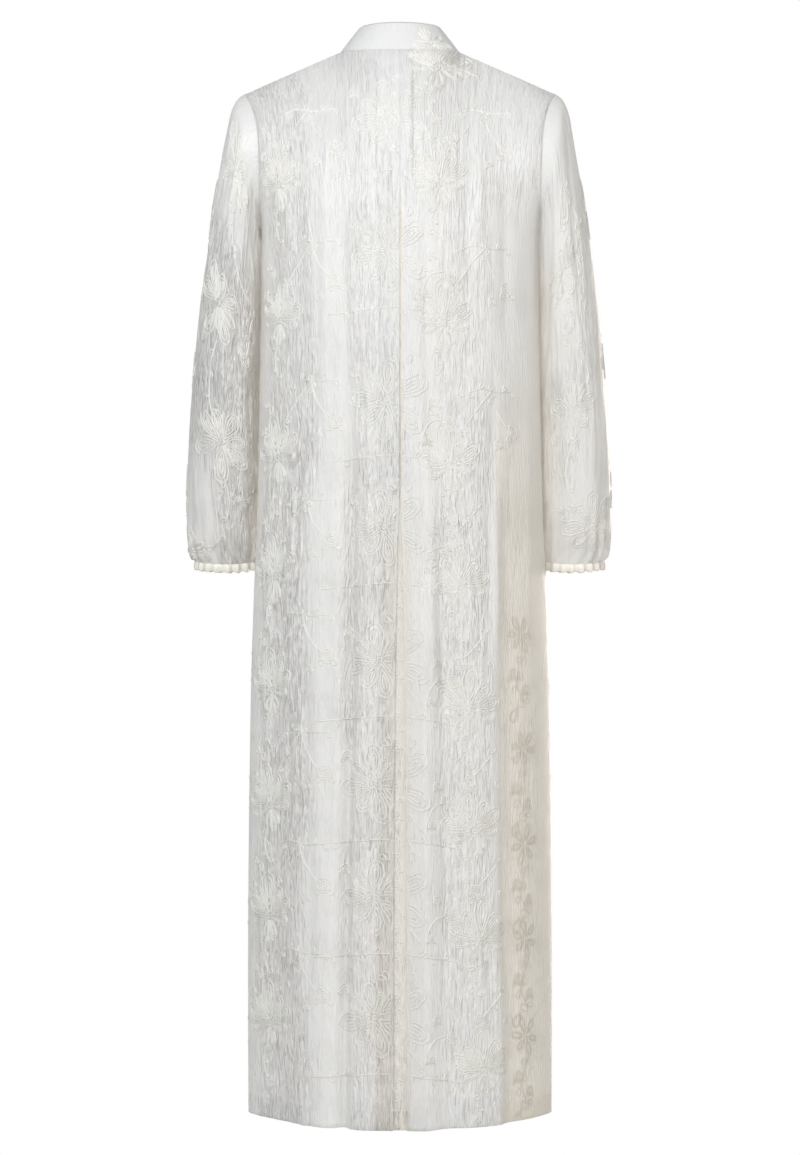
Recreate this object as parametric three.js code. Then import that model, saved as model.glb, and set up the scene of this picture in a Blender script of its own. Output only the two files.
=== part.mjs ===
// A long kaftan dress of light embroidered cloth, worn shape, with nothing inside it.
//
// Millimetres, +Z up. The origin is the centre of the neck ring, level with the two side neck
// points. -Y is the back of the dress and +Y its front, -X is the wearer's left.
// Every piece is a thin wall of cloth: a middle surface, given half its thickness on each side.
// Sewn edges stand one seam gap apart and share one mitre direction, so that they never cross.

import * as THREE from "three";

const CLOTH_WALL = 1.5;
const HEM_WALL = 2.4;
const COLLAR_WALL = 2;
const CUFF_WALL = 2;
const SEAM_GAP = 0.3;

const NECK = { halfWidth: 75.5, backDepth: 62, frontDepth: 68, backDrop: 7, frontDrop: 62 };
const NECK_SPREAD = { sideways: 0.76, lengthways: 0.9, sideRise: 0.65, centreRise: 0.45 };
const COLLAR_TOP = { halfWidth: 51, backDepth: 45, frontDepth: 50, height: 30, frontDrop: 54 };
const COLLAR_ROWS = 3;

const SHOULDER = { tipX: 201, slope: 0.435, tipRounding: 1, seamSpread: 0.42, seamRise: 0.91 };
const ARMHOLE = {
  underarmX: 179,
  underarmZ: -217,
  backDepth: 70,
  frontDepth: 72,
  tipCurve: 5,
  lean: 0.55,
};
const ARMHOLE_STEPS = 8;
const EDGE_PULL = 5;
const YOKE_FULLNESS = 0.85;

const HEM = { z: -1367, turning: 26, step: 1.5 };
const FRONT_SLIT = { halfGap: 3, endZ: -290 };

// Cross-sections of the body, from the underarm to the hem. The side seams are the widest
// points; "edge" is 0.5 for an ellipse and more where the sides are drawn out to a soft edge.
const BODY_SECTIONS = [
  { z: -217, halfWidth: 179, back: 118, front: 130, edge: 0.58 },
  { z: -290, halfWidth: 179.5, back: 121, front: 134, edge: 0.6 },
  { z: -380, halfWidth: 180.5, back: 122, front: 132, edge: 0.62 },
  { z: -480, halfWidth: 182, back: 123, front: 130, edge: 0.65 },
  { z: -590, halfWidth: 184, back: 125, front: 129, edge: 0.68 },
  { z: -700, halfWidth: 188.5, back: 127, front: 129, edge: 0.7 },
  { z: -810, halfWidth: 192, back: 129, front: 130, edge: 0.73 },
  { z: -930, halfWidth: 194, back: 131, front: 131, edge: 0.75 },
  { z: -1060, halfWidth: 195.5, back: 133, front: 132, edge: 0.77 },
  { z: -1200, halfWidth: 196, back: 135, front: 133, edge: 0.79 },
  { z: -1367, halfWidth: 195.5, back: 137, front: 134, edge: 0.8 },
];

// The inverted pleat down the centre back: how far the two folds stand off the centre line,
// how wide the cloth turns at each fold, and how far the fold reaches behind the panel.
const PLEAT_SECTIONS = [
  { z: 0, halfGap: 1.2, turn: 1.5, reach: 25 },
  { z: -186, halfGap: 1.2, turn: 1.5, reach: 25 },
  { z: -540, halfGap: 1.4, turn: 1.6, reach: 25 },
  { z: -700, halfGap: 4.5, turn: 2.2, reach: 25 },
  { z: -850, halfGap: 6.5, turn: 2.6, reach: 25 },
  { z: -1100, halfGap: 7.5, turn: 3, reach: 26 },
  { z: -1367, halfGap: 8, turn: 3.2, reach: 27 },
];
const TURN_STEPS = 4;
const PLEAT_COLUMNS = 2 * (TURN_STEPS + 1);

// The largest soft folds. Each starts at a height and runs down to the hem, on a line that passes
// "topX" at the chest and "hemX" at the hem. A ridge stands out of the panel, and a trough
// (negative depth) sinks into it.
const BACK_FOLDS = [
  { topX: -150, hemX: -158, startZ: -700, width: 24, depth: -5 },
  { topX: -104, hemX: -100, startZ: -480, width: 30, depth: 6 },
  { topX: -58, hemX: -70, startZ: -470, width: 20, depth: -7 },
  { topX: -32, hemX: -34, startZ: -560, width: 16, depth: 4 },
  { topX: 28, hemX: 30, startZ: -620, width: 18, depth: 6 },
  { topX: 48, hemX: 64, startZ: -260, width: 18, depth: -6 },
  { topX: 96, hemX: 104, startZ: -300, width: 30, depth: 5 },
  { topX: 140, hemX: 148, startZ: -520, width: 22, depth: -4 },
];
const FRONT_FOLDS = [
  { topX: -152, hemX: -160, startZ: -430, width: 22, depth: -4 },
  { topX: -82, hemX: -88, startZ: -330, width: 26, depth: 6 },
  { topX: -30, hemX: -38, startZ: -380, width: 22, depth: -5 },
  { topX: 24, hemX: 20, startZ: -420, width: 24, depth: 5 },
  { topX: 70, hemX: 78, startZ: -360, width: 24, depth: -6 },
  { topX: 118, hemX: 128, startZ: -480, width: 28, depth: 5 },
];
const FOLD_FADE = 160;

// Rings of the sleeves from the armhole to the cuff seam. Each ring is set by its outer point,
// its inner point beside the body, its half depth from back to front, and how far forward it
// hangs. "gather" is the height of the gathers that the cuff draws into the cloth.
const SLEEVE_RINGS = [
  { leftX: 209.5, rightX: 209, outerZ: -62.5, innerX: 182.5, innerZ: -220, depth: 70, forward: 0, gather: 0 },
  { leftX: 216.5, rightX: 215.5, outerZ: -76, innerX: 183.5, innerZ: -226, depth: 71, forward: 2, gather: 0 },
  { leftX: 222, rightX: 221, outerZ: -100, innerX: 183.5, innerZ: -239, depth: 71, forward: 5, gather: 0 },
  { leftX: 230, rightX: 228, outerZ: -140, innerX: 182.6, innerZ: -266, depth: 71, forward: 9, gather: 0 },
  { leftX: 240, rightX: 238, outerZ: -196, innerX: 182.2, innerZ: -306, depth: 70, forward: 13, gather: 0 },
  { leftX: 251, rightX: 248.5, outerZ: -268, innerX: 181.8, innerZ: -360, depth: 69, forward: 17, gather: 0 },
  { leftX: 260.5, rightX: 258, outerZ: -345, innerX: 181.8, innerZ: -418, depth: 68, forward: 22, gather: 0 },
  { leftX: 268.5, rightX: 265.5, outerZ: -423, innerX: 181.8, innerZ: -478, depth: 66, forward: 27, gather: 0 },
  { leftX: 274, rightX: 270.5, outerZ: -503, innerX: 181.8, innerZ: -540, depth: 64, forward: 32, gather: 0.5 },
  { leftX: 277, rightX: 274, outerZ: -576, innerX: 181.8, innerZ: -593, depth: 60, forward: 37, gather: 1.5 },
  { leftX: 276, rightX: 273.5, outerZ: -622, innerX: 182, innerZ: -628, depth: 50, forward: 40, gather: 3 },
  { leftX: 272, rightX: 270.5, outerZ: -648, innerX: 182.5, innerZ: -649, depth: 37, forward: 42, gather: 3.4 },
  { leftX: 266, rightX: 264.5, outerZ: -659, innerX: 182.5, innerZ: -659, depth: 29, forward: 42, gather: 2.4 },
];
const SLEEVE_GATHERS = 12;
const SLEEVE_COLUMNS = 48;

const CUFF = { height: 10.5, belly: 1, lobes: 20, lobeHeight: 1.5, edgeScallop: 0.9, sideLift: 2 };
const CUFF_COLUMNS_PER_LOBE = 4;

const CLOTH_COLOUR = 0xe6e4de;
const COLLAR_COLOUR = 0xe9e7e1;
const CUFF_COLOUR = 0xe8e2d2;
const CLOTH_ROUGHNESS = 0.55;

const LEFT = -1;
const RIGHT = 1;

const BACK = {
  direction: -1,
  neckDepth: NECK.backDepth,
  neckDrop: NECK.backDrop,
  armholeDepth: ARMHOLE.backDepth,
  depthKey: "back",
  folds: BACK_FOLDS,
};
const FRONT = {
  direction: 1,
  neckDepth: NECK.frontDepth,
  neckDrop: NECK.frontDrop,
  armholeDepth: ARMHOLE.frontDepth,
  depthKey: "front",
  folds: FRONT_FOLDS,
};

const point = (x, y, z) => new THREE.Vector3(x, y, z);
const mix = (a, b, share) => a + (b - a) * share;

function clothMaterial(colour) {
  return new THREE.MeshStandardMaterial({ color: colour, roughness: CLOTH_ROUGHNESS, metalness: 0 });
}

// A smooth curve through one column of a table whose rows go down in z.
function readColumn(table, key, z) {
  const last = table.length - 1;
  if (z >= table[0].z) return table[0][key];
  if (z <= table[last].z) return table[last][key];
  const row = table.findIndex((entry, index) => index < last && table[index + 1].z <= z);
  const slopeAt = (index) => {
    const before = table[Math.max(index - 1, 0)];
    const after = table[Math.min(index + 1, last)];
    return (after[key] - before[key]) / (after.z - before.z);
  };
  const span = table[row + 1].z - table[row].z;
  const share = (z - table[row].z) / span;
  const [h00, h10] = [(1 + 2 * share) * (1 - share) ** 2, share * (1 - share) ** 2];
  const [h01, h11] = [share ** 2 * (3 - 2 * share), share ** 2 * (share - 1)];
  return h00 * table[row][key] + h10 * span * slopeAt(row)
    + h01 * table[row + 1][key] + h11 * span * slopeAt(row + 1);
}

// ---- seams ----------------------------------------------------------------------------------

// The neck seam, as two half ellipses that meet at the side neck points.
function neckPoint(side, x) {
  const around = Math.sqrt(Math.max(0, 1 - (x / NECK.halfWidth) ** 2));
  return point(x, side.direction * side.neckDepth * around, -side.neckDrop * around);
}

function neckMitre(side, x) {
  const sideways = x / NECK.halfWidth;
  const lengthways = side.direction * Math.sqrt(Math.max(0, 1 - sideways ** 2));
  const rise = mix(NECK_SPREAD.centreRise, NECK_SPREAD.sideRise, sideways ** 2);
  return point(NECK_SPREAD.sideways * sideways, NECK_SPREAD.lengthways * lengthways, rise).normalize();
}

function shoulderPoint(x) {
  const run = Math.abs(x) - NECK.halfWidth;
  const share = run / (SHOULDER.tipX - NECK.halfWidth);
  return point(x, 0, -SHOULDER.slope * run - SHOULDER.tipRounding * share ** 4);
}

function shoulderMitre(x) {
  return point(Math.sign(x) * SHOULDER.seamSpread, 0, SHOULDER.seamRise).normalize();
}

// The armhole, from the shoulder tip (angle 0) over the back or front to the underarm (angle pi).
function armholePoint(side, hand, angle) {
  const top = shoulderPoint(SHOULDER.tipX).z;
  const middle = (top + ARMHOLE.underarmZ) / 2;
  const halfHeight = (top - ARMHOLE.underarmZ) / 2;
  const tipShare = ((1 + Math.cos(angle)) / 2) ** ARMHOLE.tipCurve;
  return point(
    hand * mix(ARMHOLE.underarmX, SHOULDER.tipX, tipShare),
    side.direction * side.armholeDepth * Math.sin(angle),
    middle + halfHeight * Math.cos(angle),
  );
}

function armholeMitre(side, hand, angle) {
  return point(hand * ARMHOLE.lean, side.direction * Math.sin(angle), Math.cos(angle)).normalize();
}

// The step from one sewn edge to its neighbour's, square to the mitre that they share.
function seamStep(mitre, towards) {
  const square = towards.clone().addScaledVector(mitre, -towards.dot(mitre));
  return square.normalize().multiplyScalar(SEAM_GAP);
}

// ---- the body surfaces ----------------------------------------------------------------------

function tubePoint(side, share, z) {
  const halfWidth = readColumn(BODY_SECTIONS, "halfWidth", z);
  const depth = readColumn(BODY_SECTIONS, side.depthKey, z);
  const edge = readColumn(BODY_SECTIONS, "edge", z);
  return point(share * halfWidth, side.direction * depth * Math.max(0, 1 - share ** 2) ** edge, z);
}

function topPoint(side, share) {
  const x = share * SHOULDER.tipX;
  return Math.abs(x) < NECK.halfWidth ? neckPoint(side, x) : shoulderPoint(x);
}

// Above the underarm, the panel is spread between its top edge, its chest line and its
// armholes. "down" is 0 on the top edge and 1 on the chest line.
function yokePoint(side, share, down) {
  const spread = (at) => {
    const top = topPoint(side, at);
    const chest = tubePoint(side, at, ARMHOLE.underarmZ);
    const fullness = Math.sin((Math.PI / 2) * down) ** YOKE_FULLNESS;
    return point(mix(top.x, chest.x, down), mix(top.y, chest.y, fullness), mix(top.z, chest.z, down));
  };
  const hand = Math.sign(share) || RIGHT;
  const pull = armholePoint(side, hand, Math.PI * down).sub(spread(hand));
  return spread(share).addScaledVector(pull, Math.abs(share) ** EDGE_PULL);
}

const BODY_ROWS = [
  ...Array.from({ length: ARMHOLE_STEPS }, (unused, step) => ({ down: step / ARMHOLE_STEPS })),
  ...BODY_SECTIONS.slice(0, -1).map((section) => ({ down: 1, z: section.z })),
  { down: 1, z: HEM.z + HEM.turning + HEM.step },
  { down: 1, z: HEM.z + HEM.turning },
  { down: 1, z: HEM.z },
];

function smoothBodyPoint(side, share, row) {
  return row.down < 1 ? yokePoint(side, share, row.down) : tubePoint(side, share, row.z);
}

function outwardAt(side, share, row) {
  const small = 0.01;
  const inside = Math.min(Math.max(share, -1 + small), 1 - small);
  const inYoke = row.down < 1;
  const nextDown = Math.min(row.down + small, 1);
  const lower = inYoke ? { down: nextDown, z: ARMHOLE.underarmZ } : { ...row, z: row.z - 1 };
  const upper = inYoke ? { down: Math.max(row.down - small, 0) } : { ...row, z: row.z + 1 };
  const at = (share, level) => smoothBodyPoint(side, share, level);
  const sideways = at(inside + small, row).sub(at(inside - small, row));
  const downwards = at(inside, lower).sub(at(inside, upper));
  return downwards.cross(sideways).multiplyScalar(-side.direction).normalize();
}

function foldHeight(side, x, z) {
  let height = 0;
  for (const fold of side.folds) {
    const along = (z - ARMHOLE.underarmZ) / (HEM.z - ARMHOLE.underarmZ);
    const away = (x - mix(fold.topX, fold.hemX, along)) / fold.width;
    const fade = Math.min(Math.max((fold.startZ - z) / FOLD_FADE, 0), 1);
    height += fold.depth * Math.exp(-(away ** 2)) * fade * fade * (3 - 2 * fade);
  }
  return height;
}

// One point of a panel: "x" from the centre line, "sunk" beneath the panel's face.
function panelPoint(side, x, sunk, row) {
  const halfWidth = smoothBodyPoint(side, 1, row).x;
  const share = Math.min(Math.max(x / halfWidth, -1), 1);
  const place = smoothBodyPoint(side, share, row);
  const edgeHold = 1 - Math.abs(share) ** (2 * EDGE_PULL);
  const onNeck = row.down === 0 && Math.abs(place.x) < NECK.halfWidth;
  const outward = onNeck ? neckMitre(side, place.x) : outwardAt(side, share, row);
  return place.addScaledVector(outward, foldHeight(side, place.x, place.z) * edgeHold - sunk);
}

// Where the columns of a panel cross its top edge, from beside the centre to the shoulder tip.
function topEdgeStops() {
  const neckSteps = 5;
  const shoulderSteps = 8;
  const stops = [];
  for (let step = neckSteps - 1; step >= 0; step -= 1) {
    stops.push(NECK.halfWidth * Math.cos(((Math.PI / 2) * step) / neckSteps));
  }
  for (let step = 1; step <= shoulderSteps; step += 1) {
    stops.push(mix(NECK.halfWidth, SHOULDER.tipX, step / shoulderSteps));
  }
  return stops;
}

const TOP_STOPS = topEdgeStops();

// Half a pleat in cross-section, from the centre of its underlay round both folds to the face.
function halfPleat(z) {
  const halfGap = readColumn(PLEAT_SECTIONS, "halfGap", z);
  const turn = readColumn(PLEAT_SECTIONS, "turn", z);
  const reach = readColumn(PLEAT_SECTIONS, "reach", z);
  const stops = [{ x: 0, sunk: 4 * turn }];
  for (let step = 0; step <= TURN_STEPS; step += 1) {
    const angle = (Math.PI * step) / TURN_STEPS;
    stops.push({ x: reach - turn + turn * Math.sin(angle), sunk: turn * (3 + Math.cos(angle)) });
  }
  for (let step = 0; step <= TURN_STEPS; step += 1) {
    const angle = (Math.PI * step) / TURN_STEPS;
    stops.push({ x: halfGap + turn - turn * Math.sin(angle), sunk: turn * (1 + Math.cos(angle)) });
  }
  return stops;
}

// The half row from the centre line to the side: the pleat or slit first, then the open panel.
function halfRow(side, row) {
  const z = row.down < 1 ? mix(0, ARMHOLE.underarmZ, row.down) : row.z;
  const centre = side === BACK ? halfPleat(z) : [{ x: FRONT_SLIT.halfGap, sunk: 0 }];
  const start = centre[centre.length - 1].x;
  const topStart = side === BACK ? PLEAT_SECTIONS[0].halfGap + PLEAT_SECTIONS[0].turn : FRONT_SLIT.halfGap;
  const halfWidth = smoothBodyPoint(side, 1, row).x;
  const open = TOP_STOPS.map((stop) => {
    const share = (stop - topStart) / (SHOULDER.tipX - topStart);
    return { x: mix(start, halfWidth, share), sunk: 0 };
  });
  return [...centre, ...open];
}

function panelRow(side, row) {
  const right = halfRow(side, row);
  const left = right.map(({ x, sunk }) => ({ x: -x, sunk })).reverse();
  const across = side === BACK ? [...left, ...right.slice(1)] : [...left, ...right];
  return across.map(({ x, sunk }) => panelPoint(side, x, sunk, row));
}

// ---- walls ----------------------------------------------------------------------------------

function edgeDirection(from, through, to) {
  const direction = point(0, 0, 0);
  if (from) direction.add(through.clone().sub(from).normalize());
  if (to) direction.add(to.clone().sub(through).normalize());
  return direction;
}

// The direction out of a grid's face at one of its points. "facing" is 1 or -1.
function gridNormal(grid, row, column, facing, closed) {
  const count = grid[row].length;
  const wrap = (index) => (closed ? grid[row][(index + count) % count] : grid[row][index]);
  const through = grid[row][column];
  const sideways = edgeDirection(wrap(column - 1), through, wrap(column + 1));
  const downwards = edgeDirection(grid[row - 1]?.[column], through, grid[row + 1]?.[column]);
  return downwards.cross(sideways).multiplyScalar(facing).normalize();
}

// A closed solid round a grid of middle points. "thickness" gives the wall at a row,
// "mitreAt" the direction of a sewn edge, and "isOpen" the cells that are left out.
function wallGeometry({ grid, facing, closed = false, thickness, mitreAt, isOpen = () => false }) {
  const rows = grid.length;
  const columns = grid[0].length;
  const positions = [];
  for (let row = 0; row < rows; row += 1) {
    for (let column = 0; column < columns; column += 1) {
      const out = mitreAt(row, column) ?? gridNormal(grid, row, column, facing, closed);
      const { outer, inner } = thickness(row);
      positions.push(...grid[row][column].clone().addScaledVector(out, outer).toArray());
      positions.push(...grid[row][column].clone().addScaledVector(out, -inner).toArray());
    }
  }
  const outerAt = (row, column) => 2 * (row * columns + (column % columns));
  const innerAt = (row, column) => outerAt(row, column) + 1;
  const indices = [];
  const addQuad = (a, b, c, d) => {
    if (facing > 0) indices.push(a, b, c, a, c, d);
    else indices.push(a, c, b, a, d, c);
  };
  const cellColumns = closed ? columns : columns - 1;
  const hasCell = (row, column) => {
    const wrapped = closed ? (column + columns) % columns : column;
    const inGrid = row >= 0 && row < rows - 1 && wrapped >= 0 && wrapped < cellColumns;
    return inGrid && !isOpen(row, wrapped);
  };
  const addRim = (a, b) => addQuad(outerAt(...b), outerAt(...a), innerAt(...a), innerAt(...b));
  for (let row = 0; row < rows - 1; row += 1) {
    for (let column = 0; column < cellColumns; column += 1) {
      if (!hasCell(row, column)) continue;
      const corners = [[row, column], [row + 1, column], [row + 1, column + 1], [row, column + 1]];
      const [a, b, c, d] = corners;
      addQuad(outerAt(...a), outerAt(...b), outerAt(...c), outerAt(...d));
      addQuad(innerAt(...a), innerAt(...d), innerAt(...c), innerAt(...b));
      if (!hasCell(row, column - 1)) addRim(a, b);
      if (!hasCell(row + 1, column)) addRim(b, c);
      if (!hasCell(row, column + 1)) addRim(c, d);
      if (!hasCell(row - 1, column)) addRim(d, a);
    }
  }
  const geometry = new THREE.BufferGeometry();
  geometry.setAttribute("position", new THREE.Float32BufferAttribute(positions, 3));
  geometry.setIndex(indices);
  return geometry;
}

function namedMesh(name, geometry, material) {
  geometry.computeVertexNormals();
  const mesh = new THREE.Mesh(geometry, material);
  mesh.name = name;
  return mesh;
}

// ---- the pieces -----------------------------------------------------------------------------

function bodyPanel(name, side) {
  const grid = BODY_ROWS.map((row) => panelRow(side, row));
  for (const place of grid.flat()) place.y += (side.direction * SEAM_GAP) / 2;
  const lastColumn = grid[0].length - 1;
  const mitreAt = (row, column) => {
    const { down, z } = BODY_ROWS[row];
    const atSide = column === 0 || column === lastColumn;
    const hand = column === 0 ? LEFT : RIGHT;
    const underarm = down === 1 && z === ARMHOLE.underarmZ;
    if (atSide && (down < 1 || underarm)) return armholeMitre(side, hand, Math.PI * down);
    if (atSide) return point(hand, 0, 0);
    const tucked = side === BACK && Math.abs(column - lastColumn / 2) < PLEAT_COLUMNS;
    if (row > 0 || tucked) return null;
    const { x } = grid[0][column];
    if (Math.abs(x) > NECK.halfWidth + SEAM_GAP) return shoulderMitre(x);
    return neckMitre(side, THREE.MathUtils.clamp(x, -NECK.halfWidth, NECK.halfWidth));
  };
  const thickness = (row) => {
    const inHem = BODY_ROWS[row].z <= HEM.z + HEM.turning;
    return { outer: CLOTH_WALL / 2, inner: (inHem ? HEM_WALL : CLOTH_WALL) - CLOTH_WALL / 2 };
  };
  const middleCell = (lastColumn - 1) / 2;
  const isOpen = (row, column) => {
    const lower = BODY_ROWS[row + 1];
    return side === FRONT && column === middleCell && (lower.down < 1 || lower.z >= FRONT_SLIT.endZ);
  };
  const geometry = wallGeometry({ grid, facing: -side.direction, thickness, mitreAt, isOpen });
  return namedMesh(name, geometry, clothMaterial(CLOTH_COLOUR));
}

// The armhole ring that the sleeve is sewn to: straight between the body's own armhole points.
function armholeRing(hand, columnShare) {
  const turns = columnShare * 2 * ARMHOLE_STEPS;
  const corner = (index) => {
    const overBack = index <= ARMHOLE_STEPS;
    const side = overBack ? BACK : FRONT;
    const steps = overBack ? index : 2 * ARMHOLE_STEPS - index;
    const angle = (Math.PI * steps) / ARMHOLE_STEPS;
    const mitre = armholeMitre(side, hand, angle);
    const place = armholePoint(side, hand, angle);
    return { place: place.add(seamStep(mitre, point(hand, 0, 0))), mitre };
  };
  const from = corner(Math.floor(turns));
  const to = corner(Math.ceil(turns));
  const share = turns - Math.floor(turns);
  return { place: from.place.lerp(to.place, share), mitre: from.mitre.lerp(to.mitre, share) };
}

function sleeveRingPoint(ring, hand, columnShare) {
  const angle = columnShare * 2 * Math.PI;
  const outerX = hand === LEFT ? ring.leftX : ring.rightX;
  const halfX = (outerX - ring.innerX) / 2;
  const halfZ = (ring.outerZ - ring.innerZ) / 2;
  const reach = 1 + (ring.gather * Math.cos(SLEEVE_GATHERS * angle)) / halfX;
  return point(
    hand * (ring.innerX + halfX + halfX * reach * Math.cos(angle)),
    ring.forward - ring.depth * reach * Math.sin(angle),
    (ring.outerZ + ring.innerZ) / 2 + halfZ * Math.cos(angle),
  );
}

const seamLift = (angle) => CUFF.sideLift * Math.cos(2 * angle);

function sleeve(name, hand) {
  const shares = Array.from({ length: SLEEVE_COLUMNS }, (unused, column) => column / SLEEVE_COLUMNS);
  const armhole = shares.map((share) => armholeRing(hand, share));
  const rings = SLEEVE_RINGS.map((ring) => shares.map((share) => sleeveRingPoint(ring, hand, share)));
  const grid = [armhole.map(({ place }) => place), ...rings];
  const lastRow = grid.length - 1;
  grid[lastRow].forEach((place, column) => {
    place.z += seamLift(2 * Math.PI * shares[column]);
  });
  const mitreAt = (row, column) => {
    if (row === 0) return armhole[column].mitre;
    if (row < lastRow) return null;
    return gridNormal(grid, row, column, -hand, true).setZ(0).normalize();
  };
  const thickness = () => ({ outer: CLOTH_WALL / 2, inner: CLOTH_WALL / 2 });
  const geometry = wallGeometry({ grid, facing: -hand, closed: true, thickness, mitreAt });
  return namedMesh(name, geometry, clothMaterial(CLOTH_COLOUR));
}

// A gathered band with elastic in it: small lobes all round and a scalloped lower edge.
function cuff(name, hand) {
  const columns = CUFF.lobes * CUFF_COLUMNS_PER_LOBE;
  const seam = SLEEVE_RINGS[SLEEVE_RINGS.length - 1];
  const levels = [
    { down: SEAM_GAP, swell: 0, scallop: 0 },
    { down: CUFF.height / 2, swell: CUFF.belly, scallop: 0 },
    { down: CUFF.height, swell: 0, scallop: CUFF.edgeScallop },
  ];
  const grid = levels.map(({ down, swell, scallop }) =>
    Array.from({ length: columns }, (unused, column) => {
      const share = column / columns;
      const angle = 2 * Math.PI * share;
      const lobe = Math.cos(CUFF.lobes * angle);
      const place = sleeveRingPoint({ ...seam, gather: 0 }, hand, share);
      const outward = point(hand * Math.cos(angle), -Math.sin(angle), 0);
      place.addScaledVector(outward, swell + CUFF.lobeHeight * lobe);
      place.z += seamLift(angle) - down - scallop * lobe;
      return place;
    }));
  const mitreAt = (row, column) => gridNormal(grid, row, column, -hand, true).setZ(0).normalize();
  const thickness = () => ({ outer: CUFF_WALL / 2, inner: CUFF_WALL / 2 });
  const geometry = wallGeometry({ grid, facing: -hand, closed: true, thickness, mitreAt });
  return namedMesh(name, geometry, clothMaterial(CUFF_COLOUR));
}

// The neck seam's stops, from beside the front slit round the back to the slit's other side.
function collarStops() {
  const neckStops = TOP_STOPS.filter((stop) => stop <= NECK.halfWidth);
  const rightFront = [FRONT_SLIT.halfGap, ...neckStops].map((x) => ({ side: FRONT, x }));
  const pleatEdge = PLEAT_SECTIONS[0].halfGap + PLEAT_SECTIONS[0].turn;
  const rightBack = [...neckStops.slice(0, -1).reverse(), pleatEdge].map((x) => ({ side: BACK, x }));
  const right = [...rightFront, ...rightBack];
  const left = right.map(({ side, x }) => ({ side, x: -x })).reverse();
  return [...right, ...left];
}

function collarTopPoint(side, x) {
  const sideways = x / NECK.halfWidth;
  const lengthways = Math.sqrt(Math.max(0, 1 - sideways ** 2));
  const depth = side === BACK ? COLLAR_TOP.backDepth : COLLAR_TOP.frontDepth;
  const drop = side === BACK ? 0 : COLLAR_TOP.frontDrop;
  const slitX = side === FRONT && Math.abs(x) <= FRONT_SLIT.halfGap;
  const topX = slitX ? x : COLLAR_TOP.halfWidth * sideways;
  return point(topX, side.direction * depth * lengthways, COLLAR_TOP.height - drop * lengthways ** 2);
}

function standCollar(name) {
  const stops = collarStops();
  const mitres = stops.map(({ side, x }) => neckMitre(side, x));
  const bases = stops.map(({ side, x }, index) => {
    const base = neckPoint(side, x);
    return base.add(seamStep(mitres[index], point(0, 0, 1)));
  });
  const tops = stops.map(({ side, x }) => collarTopPoint(side, x));
  const grid = Array.from({ length: COLLAR_ROWS + 1 }, (unused, row) =>
    bases.map((base, column) => tops[column].clone().lerp(base, row / COLLAR_ROWS)));
  const mitreAt = (row, column) => (row === COLLAR_ROWS ? mitres[column] : null);
  const thickness = () => ({ outer: COLLAR_WALL / 2, inner: COLLAR_WALL / 2 });
  const geometry = wallGeometry({ grid, facing: -1, thickness, mitreAt });
  return namedMesh(name, geometry, clothMaterial(COLLAR_COLOUR));
}

const kaftan = new THREE.Group();
kaftan.name = "kaftan_dress";
kaftan.add(
  bodyPanel("back_panel", BACK),
  bodyPanel("front_panel", FRONT),
  sleeve("sleeve_left", LEFT),
  sleeve("sleeve_right", RIGHT),
  cuff("cuff_left", LEFT),
  cuff("cuff_right", RIGHT),
  standCollar("collar"),
);

export default kaftan;
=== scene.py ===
# %% [markdown]
# # A long kaftan dress in ivory cloth with corded flowers
#
# This lesson dresses a imported model of a kaftan. The real garment is cut from a light, slightly
# see-through satin that is crinkled lengthways and embroidered with cream cord. It has seven
# pieces: back, front, two sleeves, two cuffs and a stand collar. The imported model already gives
# their places and sizes, so the lesson starts by loading it. The lesson works in millimetres and
# turns them into metres when a mesh is made.

# %% Load the imported dress
import math

import bmesh
import bpy
import numpy as np
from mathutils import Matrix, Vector


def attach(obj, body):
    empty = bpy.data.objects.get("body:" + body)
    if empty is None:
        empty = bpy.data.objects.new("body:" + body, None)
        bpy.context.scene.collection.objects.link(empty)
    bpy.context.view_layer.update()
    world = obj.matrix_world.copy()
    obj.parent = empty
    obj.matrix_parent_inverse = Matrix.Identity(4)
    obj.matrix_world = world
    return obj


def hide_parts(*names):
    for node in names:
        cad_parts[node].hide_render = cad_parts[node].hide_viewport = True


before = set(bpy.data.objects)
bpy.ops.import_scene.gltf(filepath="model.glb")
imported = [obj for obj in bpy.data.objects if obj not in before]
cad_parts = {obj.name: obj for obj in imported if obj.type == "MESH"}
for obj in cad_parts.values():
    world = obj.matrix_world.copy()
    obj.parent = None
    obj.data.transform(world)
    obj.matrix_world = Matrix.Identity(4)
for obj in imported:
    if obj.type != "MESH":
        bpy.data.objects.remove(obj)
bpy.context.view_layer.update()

MM = 0.001

# %% [markdown]
# ## Camera, floor and light
#
# The dress hangs as if worn, seen level from behind. A long lens far away keeps the sides of the
# dress upright. A studio has a white sweep, one large soft light to the left, a weaker warm one
# to the right and a warm one behind the cloth, which makes thin cloth glow. The floor is a plain
# sheet well below the hem, so that no piece touches it.
#
# The sweep could be a big curved wall, but a wall would light the dress from everywhere and wash
# out its folds. Here the world does both jobs: it is white where nothing stands before it, and a
# dim cool room to all other light, also to what is seen through the thin cloth.

# %% Camera
CAMERA_DISTANCE = 4.0
CAMERA_HEIGHT = -0.678
VIEW_HEIGHT = 1.49

camera_data = bpy.data.cameras.new("camera")
camera_data.sensor_width = 36
camera_data.lens = camera_data.sensor_width * CAMERA_DISTANCE / VIEW_HEIGHT
camera = bpy.data.objects.new("camera", camera_data)
camera.location = (0, -CAMERA_DISTANCE, CAMERA_HEIGHT)
camera.rotation_euler = (math.pi / 2, 0, 0)
bpy.context.collection.objects.link(camera)
bpy.context.scene.camera = camera
print("lens:", round(camera_data.lens, 1), "mm")

# %% Floor
FLOOR_HEIGHT = -1.80
FLOOR_HALF = 1.6
FLOOR_TONE, FLOOR_ROUGHNESS = (0.7, 0.7, 0.69), 0.8

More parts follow.
